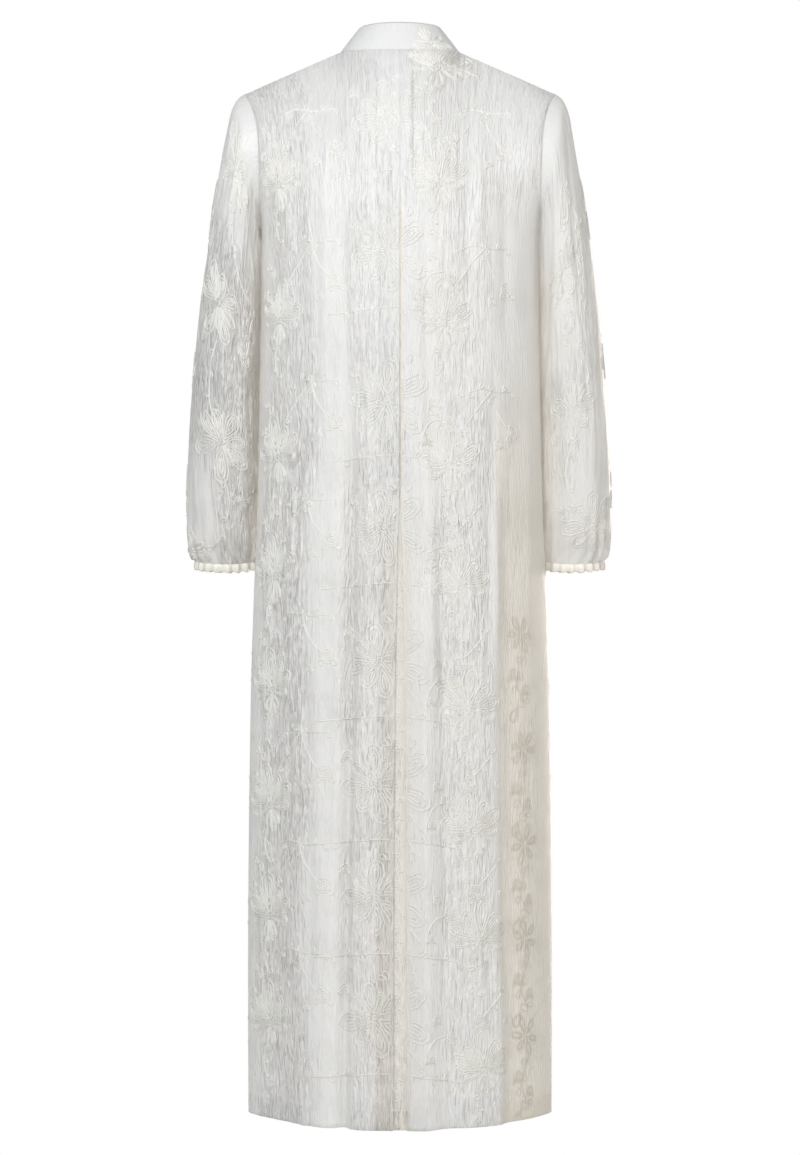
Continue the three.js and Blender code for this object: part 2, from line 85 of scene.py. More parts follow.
floor_shape = bmesh.new()
bmesh.ops.create_grid(floor_shape, x_segments=1, y_segments=1, size=FLOOR_HALF)
bmesh.ops.translate(floor_shape, verts=floor_shape.verts, vec=(0, 0, FLOOR_HEIGHT))
floor_mesh = bpy.data.meshes.new("floor")
floor_shape.to_mesh(floor_mesh)
floor_shape.free()
floor = bpy.data.objects.new("floor", floor_mesh)
bpy.context.collection.objects.link(floor)
floor_paint = bpy.data.materials.new("floor_paint")
floor_paint.use_nodes = True
paint = floor_paint.node_tree.nodes["Principled BSDF"]
paint.inputs["Base Color"].default_value = (*FLOOR_TONE, 1)
paint.inputs["Roughness"].default_value = FLOOR_ROUGHNESS
floor_mesh.materials.append(floor_paint)

# %% The world: a white sweep and a dim room
ROOM_LIGHT, ROOM_TONE, SWEEP_TONE = 0.45, (0.955, 0.98, 1), (1, 1, 1)
# a ray that has passed no cloth has a depth of 0, any other 1 or more
NO_CLOTH_PASSED = 0.5


def add_node(tree, kind, sockets=None, **options):
    """Adds a shader node. `sockets` gives a number, a colour or another node's output for its
    inputs, and `options` are the settings of the node itself."""
    made = tree.nodes.new(kind)
    for option, value in options.items():
        setattr(made, option, value)
    for socket, value in (sockets or {}).items():
        if isinstance(value, bpy.types.NodeSocket):
            tree.links.new(value, made.inputs[socket])
        else:
            made.inputs[socket].default_value = value
    return made


world = bpy.data.worlds.new("studio")
world.use_nodes = True
sky = world.node_tree
room = sky.nodes["Background"]
room.inputs["Strength"].default_value = ROOM_LIGHT
room.inputs["Color"].default_value = (*ROOM_TONE, 1)
sweep = add_node(sky, "ShaderNodeBackground", {"Color": (*SWEEP_TONE, 1)})
path = add_node(sky, "ShaderNodeLightPath")
passed = path.outputs["Transparent Depth"]
clear = add_node(sky, "ShaderNodeMath", {0: passed, 1: NO_CLOTH_PASSED}, operation="LESS_THAN")
direct = {0: path.outputs["Is Camera Ray"], 1: clear.outputs["Value"]}
straight = add_node(sky, "ShaderNodeMath", direct, operation="MULTIPLY")
both_lights = {1: room.outputs["Background"], 2: sweep.outputs["Background"]}
both_lights["Fac"] = straight.outputs["Value"]
chooser = add_node(sky, "ShaderNodeMixShader", both_lights)
sky.links.new(chooser.outputs["Shader"], sky.nodes["World Output"].inputs["Surface"])
bpy.context.scene.world = world
bpy.context.scene.view_settings.view_transform = "Standard"
print("room light:", ROOM_LIGHT)

# %% Lights
LIGHTS = (
    # name, place, width, power, colour
    ("key", (-0.95, -2.7, 0.9), 1.9, 88, (0.93, 0.962, 1.0)),
    ("fill", (2.4, -2.4, -0.3), 1.8, 31, (1.0, 0.965, 0.92)),
    ("behind", (1.1, 2.8, -0.8), 2.0, 76, (1.0, 0.92, 0.82)),
)
DRESS_CENTRE = Vector((0, 0, -0.68))

for name, place, width, power, colour in LIGHTS:
    lamp = bpy.data.lights.new(name, "AREA")
    lamp.shape = "DISK"
    lamp.size = width
    lamp.energy = power
    lamp.color = colour
    holder = bpy.data.objects.new(name, lamp)
    holder.location = place
    holder.rotation_euler = (DRESS_CENTRE - Vector(place)).to_track_quat("-Z", "Y").to_euler()
    bpy.context.collection.objects.link(holder)
print("lights:", [row[0] for row in LIGHTS])

# %% [markdown]
# ## The body's form
#
# The cut of the body is held by a short table of cross-sections, from the underarm to the hem,
# and by the curves of its neck, shoulders and armholes. They are the same sizes that the packed
# walls were built from, so a shell made from them lies inside those walls. A smooth curve runs
# through each column of a table, and everything else is worked out from it.

# %% Smooth curves through a table
def smooth_through(knots, values, at):
    """A smooth curve through numbers or points at rising knots, read at `at`."""
    knots = np.asarray(knots, float)
    values = np.asarray(values, float)
    at = np.clip(at, knots[0], knots[-1])
    tail = (1,) * (values.ndim - 1)
    slopes = np.empty_like(values)
    slopes[1:-1] = (values[2:] - values[:-2]) / (knots[2:] - knots[:-2]).reshape(-1, *tail)
    slopes[0] = (values[1] - values[0]) / (knots[1] - knots[0])
    slopes[-1] = (values[-1] - values[-2]) / (knots[-1] - knots[-2])
    row = np.clip(np.searchsorted(knots, at, side="right") - 1, 0, len(knots) - 2)
    span = (knots[row + 1] - knots[row]).reshape(np.shape(at) + tail)
    t = np.reshape(at - knots[row], np.shape(at) + tail) / span
    before = (1 + 2 * t) * (1 - t) ** 2 * values[row] + t * (1 - t) ** 2 * span * slopes[row]
    after = t**2 * (3 - 2 * t) * values[row + 1] + t**2 * (t - 1) * span * slopes[row + 1]
    return before + after


print("halfway between 0 and 10:", smooth_through([0, 1, 2], [0, 10, 20], 0.5))


def read_column(table, column, z):
    """One column of a table whose first column is a height that falls from row to row."""
    rows = np.asarray(table, float)
    return smooth_through(-rows[:, 0], rows[:, column], -np.asarray(z, float))


def mix(a, b, share):
    return a + (b - a) * share


def smooth_step(value):
    t = np.clip(value, 0, 1)
    return t * t * (3 - 2 * t)


def below(z, start, over):
    """0 down to the height `start`, then a soft rise to 1 over the next `over` mm."""
    return smooth_step((start - z) / over)


# %% Sizes of the body
BACK, FRONT = -1, 1
NECK_HALF_WIDTH = 75.5
NECK_DEPTH = {BACK: 62, FRONT: 68}
NECK_DROP = {BACK: 7, FRONT: 62}
SHOULDER_TIP, SHOULDER_SLOPE, TIP_ROUNDING = 201, 0.435, 1
UNDERARM_X, UNDERARM_Z, TIP_CURVE = 179, -217, 5
ARMHOLE_DEPTH = {BACK: 70, FRONT: 72}
EDGE_PULL, YOKE_FULLNESS = 5, 0.85
HEM_Z, HEM_TURNING = -1367, 26

# height, half width, depth of the back, depth of the front, how drawn out the sides are
BODY_SECTIONS = (
    (-217, 179, 118, 130, 0.58),
    (-290, 179.5, 121, 134, 0.6),
    (-380, 180.5, 122, 132, 0.62),
    (-480, 182, 123, 130, 0.65),
    (-590, 184, 125, 129, 0.68),
    (-700, 188.5, 127, 129, 0.7),
    (-810, 192, 129, 130, 0.73),
    (-930, 194, 131, 131, 0.75),
    (-1060, 195.5, 133, 132, 0.77),
    (-1200, 196, 135, 133, 0.79),
    (-1367, 195.5, 137, 134, 0.8),
)
DEPTH_COLUMN = {BACK: 2, FRONT: 3}


def tube_points(side, share, z):
    """Points of the skirt and torso: `share` runs from -1 to 1 between the side seams."""
    share, z = np.broadcast_arrays(np.asarray(share, float), np.asarray(z, float))
    depth = read_column(BODY_SECTIONS, DEPTH_COLUMN[side], z)
    bow = np.maximum(0, 1 - share**2) ** read_column(BODY_SECTIONS, 4, z)
    return np.stack([share * read_column(BODY_SECTIONS, 1, z), side * depth * bow, z], axis=-1)


def neck_points(side, x):
    """The neck's curve, which dips at the middle of the back or front."""
    around = np.sqrt(np.maximum(0, 1 - (x / NECK_HALF_WIDTH) ** 2))
    return np.stack([x, side * NECK_DEPTH[side] * around, -NECK_DROP[side] * around], axis=-1)


def shoulder_points(x):
    """The shoulder line from the side of the neck, rounded off at its tip."""
    run = np.abs(x) - NECK_HALF_WIDTH
    tip = np.clip(run / (SHOULDER_TIP - NECK_HALF_WIDTH), 0, 1)
    return np.stack([x, 0 * x, -SHOULDER_SLOPE * run - TIP_ROUNDING * tip**4], axis=-1)


def armhole_points(side, hand, angle):
    """The armhole from the shoulder tip, angle 0, to the underarm, angle pi."""
    top = -SHOULDER_SLOPE * (SHOULDER_TIP - NECK_HALF_WIDTH) - TIP_ROUNDING
    tip = ((1 + np.cos(angle)) / 2) ** TIP_CURVE
    x = hand * mix(UNDERARM_X, SHOULDER_TIP, tip)
    z = (top + UNDERARM_Z) / 2 + (top - UNDERARM_Z) / 2 * np.cos(angle)
    return np.stack([x, side * ARMHOLE_DEPTH[side] * np.sin(angle), z], axis=-1)


def yoke_points(side, share, down):
    """Points above the underarm: `down` is 0 on the top edge and 1 on the chest line."""
    share, down = np.broadcast_arrays(np.asarray(share, float), np.asarray(down, float))

    def spread(at):
        x = at * SHOULDER_TIP
        on_neck = (np.abs(x) < NECK_HALF_WIDTH)[..., None]
        top = np.where(on_neck, neck_points(side, x), shoulder_points(x))
        chest = tube_points(side, at, UNDERARM_Z)
        fullness = np.sin(np.pi / 2 * down) ** YOKE_FULLNESS
        return mix(top, chest, np.stack([down, fullness, down], axis=-1))

    hand = np.where(share < 0, -1.0, 1.0)
    pull = armhole_points(side, hand, np.pi * down) - spread(hand)
    return spread(share) + pull * (np.abs(share) ** EDGE_PULL)[..., None]


def body_points(side, share, level):
    """The body's plain surface. `level` is 0 at the top edge, 1 at the underarm and 2 at the hem."""
    share, level = np.broadcast_arrays(np.asarray(share, float), np.asarray(level, float))
    yoke = yoke_points(side, share, np.clip(level, 0, 1))
    skirt = tube_points(side, share, mix(UNDERARM_Z, HEM_Z, np.maximum(level - 1, 0)))
    return np.where((level < 1)[..., None], yoke, skirt)


def outward_from(along, across, facing):
    """Unit directions square to two sets of directions on a surface."""
    out = np.cross(along, across) * facing
    return out / np.maximum(np.linalg.norm(out, axis=-1, keepdims=True), 1e-9)


def body_outward(side, share, level):
    """Directions out of the plain surface, from places a small step away on each side."""
    step, edge = 0.004, 0.995
    inside = np.clip(share, step - edge, edge - step)
    across = body_points(side, inside + step, level) - body_points(side, inside - step, level)
    along = body_points(side, inside, level + step) - body_points(side, inside, level - step)
    return outward_from(along, across, -side)


print("back at the chest (mm):", body_points(BACK, 0, 1).round(1))

# %% [markdown]
# ## Cloth length round the body
#
# Crinkles and flowers are spaced along the cloth, not along a straight ruler held in front of it.
# A table of arc lengths, measured once round a section of the skirt, turns a distance along the
# cloth from the centre line into a share of the half width.

# %% Arc length round the skirt
MEASURED_AT = -800
trial = np.sin(np.linspace(0, np.pi / 2, 1500))
outline = tube_points(BACK, trial, MEASURED_AT)[:, :2]
steps = np.linalg.norm(np.diff(outline, axis=0), axis=1)
ARC_TABLE = np.concatenate([[0], np.cumsum(steps)])
HALF_GIRTH = ARC_TABLE[-1]


def share_at(arc):
    """Share of the half width at a distance along the cloth from the centre line."""
    return np.sign(arc) * np.interp(np.abs(arc), ARC_TABLE, trial)


print("cloth from the centre line to a side seam (mm):", round(HALF_GIRTH, 1))

# %% [markdown]
# ## Folds and crinkles
#
# Two sizes of relief show on the cloth. Soft folds hang from the chest to the hem, each with its
# own line, width and depth, so they are listed one by one. Between them the cloth is crinkled:
# short, sharp, nearly upright ripples a few millimetres apart. Nobody places those by hand, so
# smooth random heights, stretched lengthways, stand in for them. A table says how strong they are
# across the cloth, larger random patches break that up, and the yoke is calmer than the skirt.

# %% Smooth random heights
NOISE_SIZE = 256
NOISE_START = (97.3, 41.7)


def smooth_noise(across, along, pitch, run, seed):
    """Smooth random heights from -1 to 1: `pitch` apart across the cloth and `run` along it."""
    heights = np.random.default_rng(seed).uniform(-1, 1, (NOISE_SIZE, NOISE_SIZE))
    u = np.asarray(across) / pitch + NOISE_START[0]
    v = np.asarray(along) / run + NOISE_START[1]
    u, v = np.broadcast_arrays(u, v)
    column, row = np.floor(u).astype(int), np.floor(v).astype(int)
    du, dv = smooth_step(u - column), smooth_step(v - row)

    def corner(right, up):
        return heights[(column + right) % NOISE_SIZE, (row + up) % NOISE_SIZE]

    lower = mix(corner(0, 0), corner(1, 0), du)
    upper = mix(corner(0, 1), corner(1, 1), du)
    return mix(lower, upper, dv)


print("random heights 9 mm apart:", smooth_noise(np.arange(5) * 9, 0, 10, 40, seed=1).round(2))


# %% Soft folds and creases
FOLD_FADE = 160
CREASE_BEND, CREASE_TURNS = 3, 3.1
# place at the chest, place at the hem, height where it starts, width, depth (minus is a trough)
BACK_FOLDS = (
    (-150, -158, -700, 24, -5),
    (-104, -100, -480, 30, 6),
    (-57, -74, -440, 8.5, -13),
    (-38, -46, -480, 14, 3.5),
    (28, 30, -620, 18, 6),
    (48, 64, -260, 18, -6),
    (96, 104, -300, 30, 4),
    (117, 125, -520, 8, 2.5),
    (134, 142, -520, 13, -3.4),
)
FRONT_FOLDS = (
    (-152, -160, -430, 22, -4),
    (-82, -88, -330, 26, 6),
    (-30, -38, -380, 22, -5),
    (24, 20, -420, 24, 5),
    (70, 78, -360, 24, -6),
    (118, 128, -480, 28, 5),
)
# upper x and z, lower x and z, width, depth: shorter creases in any direction
BACK_CREASES = (
    (-176, -75, -160, -330, 9, -2.4),
    (-146, -96, -184, -152, 6, -3.4),
    (-134, -92, -170, -150, 7, 2.6),
    (-166, -70, -140, -250, 8, 2.4),
    (-128, -60, -122, -420, 9, -2.2),
    (-92, -120, -98, -520, 8, 2.0),
    (-70, -230, -66, -560, 7, -2.4),
    (-48, -560, -62, -880, 7, -3.4),
    (-38, -300, -36, -600, 7, 2.2),
    (-24, -640, -30, -1100, 6, -2.0),
    (34, -250, 38, -520, 7, -2.6),
    (44, -560, 40, -830, 8, 2.8),
    (52, -700, 58, -1220, 7, -2.4),
    (84, -160, 80, -470, 8, -2.0),
    (98, -90, 104, -300, 8, 2.2),
    (116, -420, 112, -800, 7, -2.2),
    (124, -740, 130, -1180, 8, -2.6),
    (138, -130, 132, -380, 8, -2.4),
    (-86, -640, -92, -1010, 8, -3.0),
    (-118, -780, -112, -1200, 8, -2.8),
    (-134, -560, -140, -860, 7, 2.6),
    (-168, -520, -170, -900, 6, 2.0),
    (165, -430, 168, -800, 7, 1.8),
)
FRONT_CREASES = (
    (-150, -80, -132, -330, 9, -3.0),
    (148, -78, 128, -320, 9, -3.2),
    (-60, -200, -52, -620, 9, 2.4),
    (44, -330, 50, -700, 8, -2.4),
    (-96, -420, -104, -900, 9, -2.8),
    (92, -540, 100, -1040, 8, 2.6),
    (-14, -760, -18, -1200, 8, -2.4),
    (130, -760, 138, -1190, 8, -2.4),
    (-140, -860, -146, -1240, 8, 2.2),
)
CREASE_ENDS = 0.3


def fold_heights(folds, x, z):
    """Long folds that run down to the hem and open slowly below their start."""
    total = np.zeros(np.broadcast(x, z).shape)
    for top_x, hem_x, start_z, width, depth in folds:
        along = (z - UNDERARM_Z) / (HEM_Z - UNDERARM_Z)
        away = (x - mix(top_x, hem_x, along)) / width
        total = total + depth * np.exp(-(away**2)) * below(z, start_z, FOLD_FADE)
    return total


def crease_heights(creases, x, z):
    """Shorter creases, each on its own slightly bent line, that fade at both ends."""
    total = np.zeros(np.broadcast(x, z).shape)
    for index, (top_x, top_z, low_x, low_z, width, depth) in enumerate(creases):
        along = (top_z - z) / (top_z - low_z)
        bend = CREASE_BEND * np.sin(CREASE_TURNS * along + index)
        away = (x - mix(top_x, low_x, along) - bend) / width
        ends = smooth_step(along / CREASE_ENDS + 0.5) * smooth_step((1 - along) / CREASE_ENDS + 0.5)
        total = total + depth * np.exp(-(away**2)) * ends
    return total


print("folds and creases of the back:", len(BACK_FOLDS), "and", len(BACK_CREASES))

# %% Crinkle
CRINKLE_LAYERS = (
    # pitch across, run along, height, seed
    (3.0, 19, 0.6, 11),
    (5.2, 34, 1.5, 12),
    (10.5, 75, 2.3, 13),
)
PATCH_ACROSS, PATCH_ALONG = 34, 120
PATCH_LEVEL, PATCH_SPREAD = 0.62, 0.75
PATCH_LEAST, PATCH_MOST = 0.25, 1.15
# a ripple is part soft wave, part sharp ridge
SOFT_PART, SHARP_PART = 0.35, 0.65
WANDER, WANDER_ACROSS, WANDER_ALONG = 7, 60, 90
# mm along the cloth from the centre line, strength of the crinkle there
BACK_STRENGTH = (
    (-245, 0.6),
    (-218, 0.7),
    (-202, 2.0),
    (-135, 2.1),
    (-112, 0.5),
    (-78, 0.3),
    (-60, 1.45),
    (-12, 1.35),
    (8, 0.5),
    (44, 0.35),
    (62, 1.2),
    (114, 1.1),
    (130, 0.3),
    (245, 0.25),
)
FRONT_STRENGTH = (
    (-245, 0.8),
    (-120, 1.3),
    (-60, 0.5),
    (0, 1.2),
    (70, 0.6),
    (140, 1.3),
    (245, 0.7),
)
STRENGTH_DRIFT, DRIFT_ACROSS, DRIFT_ALONG = 12, 200, 110
# how much of the strength the yoke keeps, and the least that it has
YOKE_CALM, YOKE_LEAST = 0.5, 0.55
CALM_FADE, LEAST_END, LEAST_FADE = (-150, 540), -280, 120


def crinkle_heights(arc, down, strength=1.0, seed=0):
    """The upright crinkle of the cloth, stronger in some patches than in others."""
    wander = WANDER * smooth_noise(arc, down, WANDER_ACROSS, WANDER_ALONG, 31 + seed)
    total = 0
    for pitch, run, height, layer_seed in CRINKLE_LAYERS:
        ripple = smooth_noise(arc + wander, down, pitch, run, layer_seed + seed)
        total = total + height * (SOFT_PART * ripple + SHARP_PART * (0.5 - np.abs(ripple)))
    uneven = smooth_noise(arc, down, PATCH_ACROSS, PATCH_ALONG, 32 + seed)
    patch = smooth_step(PATCH_LEVEL + PATCH_SPREAD * uneven)
    return strength * total * mix(PATCH_LEAST, PATCH_MOST, patch)


def panel_strength(table, arc, z, seed):
    """How strong the crinkle is on a panel: by the table across it, and calmer at the yoke."""
    drifted = arc + STRENGTH_DRIFT * smooth_noise(arc, z, DRIFT_ACROSS, DRIFT_ALONG, 36 + seed)
    strength = np.interp(drifted, *np.transpose(table))
    strength = strength * mix(YOKE_CALM, 1, below(z, *CALM_FADE))
    return np.maximum(strength, YOKE_LEAST * smooth_step((z - LEAST_END) / LEAST_FADE))


print("crinkle heights at the hip (mm):", crinkle_heights(np.arange(5) * 4, -800).round(1))


# %% [markdown]
# ## Laying a sheet of cloth
#
# Every piece of cloth here starts as a flat grid, as the real one starts as flat cloth. Blender
# makes the grid, and each of its points is moved to its place on the body. The grid's own flat
# size is kept as its UV map, in metres, so that the weave follows the cloth round every fold. A
# sheet can also carry marks, one amount for each point, that its finish reads later: how crinkled
# the cloth is there, and how much painted warm shade it takes where more cloth lies behind it.

# %% Directions and sheets
def grid_outward(points, facing, closed=False):
    """The direction out of the cloth at each point of a grid of places."""
    if closed:
        padded = np.concatenate([points[:, -2:-1], points, points[:, 1:2]], axis=1)
        across = (padded[:, 2:] - padded[:, :-2]) / 2
    else:
        across = np.gradient(points, axis=1)
    along = np.gradient(points, axis=0)
    return outward_from(along, across, facing)


def lay_sheet(name, points, facing, marks=None, closed=False, cut=None):
    """A sheet of cloth from a grid of places in mm, the top row first. `marks` holds one amount
    for each place, by name, for the cloth's finish to read."""
    ordered = points[::-1] if facing > 0 else points[::-1, ::-1]
    rows, columns = ordered.shape[:2]
    shape = bmesh.new()
    bmesh.ops.create_grid(shape, x_segments=columns - 1, y_segments=rows - 1, size=0.5)
    mesh = bpy.data.meshes.new(name)
    shape.to_mesh(mesh)
    shape.free()
    mesh.vertices.foreach_set("co", (ordered * MM).astype(np.float32).ravel())
    across = np.linalg.norm(np.diff(ordered, axis=1), axis=-1).mean(axis=0)
    along = np.linalg.norm(np.diff(ordered, axis=0), axis=-1).mean(axis=1)
    u = np.concatenate([[0], np.cumsum(across)])
    v = np.concatenate([[0], np.cumsum(along)])
    flat = np.stack(np.meshgrid(u, v), axis=-1).reshape(-1, 2) * MM
    corners = np.empty(len(mesh.loops), np.int32)
    mesh.loops.foreach_get("vertex_index", corners)
    for mark, amounts in (marks or {}).items():
        amounts = amounts[::-1] if facing > 0 else amounts[::-1, ::-1]
        amount_layer = mesh.attributes.new(mark, "FLOAT", "POINT")
        amount_layer.data.foreach_set("value", amounts.astype(np.float32).ravel())
    cloth_map = mesh.uv_layers.new(name="cloth")
    cloth_map.data.foreach_set("uv", flat[corners].astype(np.float32).ravel())
    shape = bmesh.new()
    shape.from_mesh(mesh)
    if cut is not None:
        gone = [face for face in shape.faces if cut(face.calc_center_median() / MM)]
        bmesh.ops.delete(shape, geom=gone, context="FACES")
    if closed:
        bmesh.ops.remove_doubles(shape, verts=shape.verts, dist=0.01 * MM)
    for face in shape.faces:
        face.smooth = True
    shape.to_mesh(mesh)
    shape.free()
    piece = bpy.data.objects.new(name, mesh)
    bpy.context.collection.objects.link(piece)
    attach(piece, "root")
    print(name, "has", len(mesh.polygons) * 2, "triangles and is", flat.max(axis=0).round(3), "m flat")
    return piece, flat.max(axis=0)


# %% [markdown]
# ## Cloth finish
#
# The cloth is a satin: it catches light in long soft streaks, and it is thin enough for light
# to pass, so what lies behind it shows faintly. One shader gives the sheen and the slight
# see-through, and a share of translucent light gives the glow. A fine weave, uneven slubs that run
# lengthways and faint changes of ivory come from textures on the cloth's own UV map.
#
# The crinkle is finer than any mesh can carry. So long ridges, stretched noise folded at its middle
# value, are added as bump, as strongly as the sheet's "crinkle" mark says. The second mark paints
# warm shade: it turns the ivory towards tan where layers of cloth lie behind one another and beside
# the body, standing in for the light that passes and bounces between them.

# %% Cloth material
SATIN = {
    "Roughness": 0.33,
    "Specular IOR Level": 0.55,
    "Sheen Weight": 0.08,
    "Sheen Roughness": 0.45,
    "Anisotropic": 0.35,
}
# painted warm shade: the tan that stands in for light passing and bouncing between layers of cloth
PAINTED_SHADE_TAN = (0.79, 0.70, 0.56)
# a wave texture repeats after this much of its scale
WAVE_REPEAT = 0.31
WEAVE_PITCH, WEAVE_STRENGTH, WEAVE_DEPTH = 0.00042, 0.12, 0.0001
SLUB_STRETCH, SLUB_STRENGTH, SLUB_DEPTH = (520, 36, 1), 0.5, 0.0018
STREAK_STRETCH, STREAK_BEND, STREAK_DEPTH = (210, 34, 1), 0.35, 0.0125
PATCH_SCALE = 11


def stretched_noise(tree, place, stretch, **sockets):
    """Noise on the piece's own map, drawn out by `stretch`, so its spots become long marks."""
    drawn = add_node(tree, "ShaderNodeMapping", {"Vector": place.outputs["UV"], "Scale": stretch})
    inputs = {"Vector": drawn.outputs["Vector"], "Scale": 1, **sockets}
    return add_node(tree, "ShaderNodeTexNoise", inputs)


def bump(tree, height, strength, depth, over=None):
    """A bump from a height, laid over another bump."""
    sockets = {"Height": height, "Strength": strength, "Distance": depth}
    if over is not None:
        sockets["Normal"] = over.outputs["Normal"]
    return add_node(tree, "ShaderNodeBump", sockets)


def cloth_colour(tree, place, light_tone, dark_tone):
    """Faint patches between two tones of ivory, turned towards a painted warm shade where the sheet is
    marked for it.
    """
    noise = {"Vector": place.outputs["UV"], "Scale": PATCH_SCALE}
    patches = add_node(tree, "ShaderNodeTexNoise", noise)
    tones = {"A": (*dark_tone, 1), "B": (*light_tone, 1), "Factor": patches.outputs["Fac"]}
    tone = add_node(tree, "ShaderNodeMix", tones, data_type="RGBA")
    # the sheet's mark of painted warm shade
    painted_warm_shade = add_node(tree, "ShaderNodeAttribute", attribute_name="painted_warm_shade")
    layers = {"A": tone.outputs["Result"], "B": (*PAINTED_SHADE_TAN, 1), "Factor": painted_warm_shade.outputs["Fac"]}
    return add_node(tree, "ShaderNodeMix", layers, data_type="RGBA")


def cloth_bumps(tree, place):
    """Weave, slubs over it, and the fine ridges of the crinkle over both."""
    weave = []
    for direction in ("X", "Y"):
        wave = {"Vector": place.outputs["UV"], "Scale": WAVE_REPEAT / WEAVE_PITCH}
        weave.append(add_node(tree, "ShaderNodeTexWave", wave, bands_direction=direction))
    both = {0: weave[0].outputs["Fac"], 1: weave[1].outputs["Fac"]}
    threads = add_node(tree, "ShaderNodeMath", both, operation="MAXIMUM")
    fine = bump(tree, threads.outputs["Value"], WEAVE_STRENGTH, WEAVE_DEPTH)
    slubs = stretched_noise(tree, place, SLUB_STRETCH, Detail=4)
    uneven = bump(tree, slubs.outputs["Fac"], SLUB_STRENGTH, SLUB_DEPTH, over=fine)

    streaks = stretched_noise(tree, place, STREAK_STRETCH, Detail=2, Distortion=STREAK_BEND)
    from_middle = {0: streaks.outputs["Fac"], 1: 0.5}
    middle = add_node(tree, "ShaderNodeMath", from_middle, operation="SUBTRACT")
    ridge = add_node(tree, "ShaderNodeMath", {0: middle.outputs["Value"]}, operation="ABSOLUTE")
    mark = add_node(tree, "ShaderNodeAttribute", attribute_name="crinkle")
    by_mark = {0: ridge.outputs["Value"], 1: mark.outputs["Fac"]}
    marked = add_node(tree, "ShaderNodeMath", by_mark, operation="MULTIPLY")
    return bump(tree, marked.outputs["Value"], 1.0, STREAK_DEPTH, over=uneven)


def cloth_material(name, light_tone, dark_tone, see_through, glow):
    """Ivory cloth. `see_through` is the share of light that passes straight through it, and
    `glow` the share that is scattered on its way."""
    material = bpy.data.materials.new(name)
    material.use_nodes = True
    tree = material.node_tree
    satin = tree.nodes["Principled BSDF"]
    for socket, value in SATIN.items():
        satin.inputs[socket].default_value = value
    satin.inputs["Alpha"].default_value = 1 - see_through
    place = add_node(tree, "ShaderNodeUVMap", uv_map="cloth")
    colour = cloth_colour(tree, place, light_tone, dark_tone)
    relief = cloth_bumps(tree, place)
    tree.links.new(colour.outputs["Result"], satin.inputs["Base Color"])
    tree.links.new(relief.outputs["Normal"], satin.inputs["Normal"])
    scattered = {"Color": (*WARM_GLOW, 1), "Normal": relief.outputs["Normal"]}
    through = add_node(tree, "ShaderNodeBsdfTranslucent", scattered)
    shares = {"Fac": glow, 1: satin.outputs["BSDF"], 2: through.outputs["BSDF"]}
    both = add_node(tree, "ShaderNodeMixShader", shares)
    tree.links.new(both.outputs["Shader"], tree.nodes["Material Output"].inputs["Surface"])
    return material


WARM_GLOW = (0.86, 0.82, 0.755)
IVORY, IVORY_SHADE = (0.87, 0.87, 0.875), (0.81, 0.81, 0.80)
COLLAR_IVORY, COLLAR_SHADE = (0.745, 0.735, 0.72), (0.70, 0.69, 0.67)
CUFF_CREAM, CUFF_SHADE = (0.84, 0.81, 0.74), (0.76, 0.72, 0.63)
dress_cloth = cloth_material("dress_cloth", IVORY, IVORY_SHADE, see_through=0.32, glow=0.22)
collar_cloth = cloth_material("collar_cloth", COLLAR_IVORY, COLLAR_SHADE, see_through=0.03, glow=0.10)
cuff_cloth = cloth_material("cuff_cloth", CUFF_CREAM, CUFF_SHADE, see_through=0.02, glow=0.12)
print("cloth finishes:", dress_cloth.name, collar_cloth.name, cuff_cloth.name)

# %% [markdown]
# ## The back, with its inverted pleat and hem
#
# The back is one width of cloth. At the centre it is folded twice towards the middle, so that two
# folds meet over a hidden underlay, and the fold opens a little below the hips. A maker would
# press these folds and stitch them down at the top. Here the grid's columns simply follow the
# cloth's path: underlay, turn, return, turn and then the open panel. At the bottom the rows turn
# under and run up again inside, as a hem does.
#
# At the top the folds lie deeper to the left than to the right, and the face cloth steps up a
# little where it lies over their stitched thickness. The simple curves of the form leave two hard
# ridges, along the chest and down from the neck's corners. Cloth would bridge them, so the rows
# and columns near them are averaged with their neighbours.

# %% The pleat's path
# height, half the gap between the folds, radius of a turn, reach to the left and to the right
PLEAT_SECTIONS = (
    (0, 0.0, 0.12, 29, 16),
    (-165, 0.0, 0.12, 29, 16),
    (-260, 0.05, 0.4, 28, 20),
    (-560, 0.6, 0.5, 26, 26),
    (-640, 2.5, 0.7, 27, 27),
    (-720, 4.5, 0.9, 28, 28),
    (-850, 6.5, 1.0, 29, 29),
    (-1100, 8, 1.1, 30, 30),
    (-1367, 8, 1.2, 31, 31),
)
UNDERLAY_COLUMNS, TURN_COLUMNS, RETURN_COLUMNS = 11, 5, 11
BESIDE_FOLD = 0.2


def half_pleat(z, hand):
    """Distance from the centre line and depth behind the face, along one half of the pleat."""
    gap = read_column(PLEAT_SECTIONS, 1, z)[:, None]
    turn = read_column(PLEAT_SECTIONS, 2, z)[:, None]
    reach = read_column(PLEAT_SECTIONS, 3 if hand < 0 else 4, z)[:, None]
    run = np.linspace(0, 1, UNDERLAY_COLUMNS, endpoint=False)[None]
    underlay_x = (reach - turn) * run
    angle = np.linspace(0, np.pi, TURN_COLUMNS)[None]
    outer_x = reach - turn + turn * np.sin(angle)
    outer_deep = turn * (3 + np.cos(angle))
    back = np.linspace(0, 1, RETURN_COLUMNS + 2)[None, 1:-1]
    return_x = mix(reach - turn, gap + turn, back)
    inner_x = gap + turn - turn * np.sin(angle)
    inner_deep = turn * (1 + np.cos(angle))
    x = np.concatenate([underlay_x, outer_x, return_x, inner_x], axis=1)
    deep = [4 * turn + 0 * underlay_x, outer_deep, 2 * turn + 0 * return_x, inner_deep]
    return x, np.concatenate(deep, axis=1)


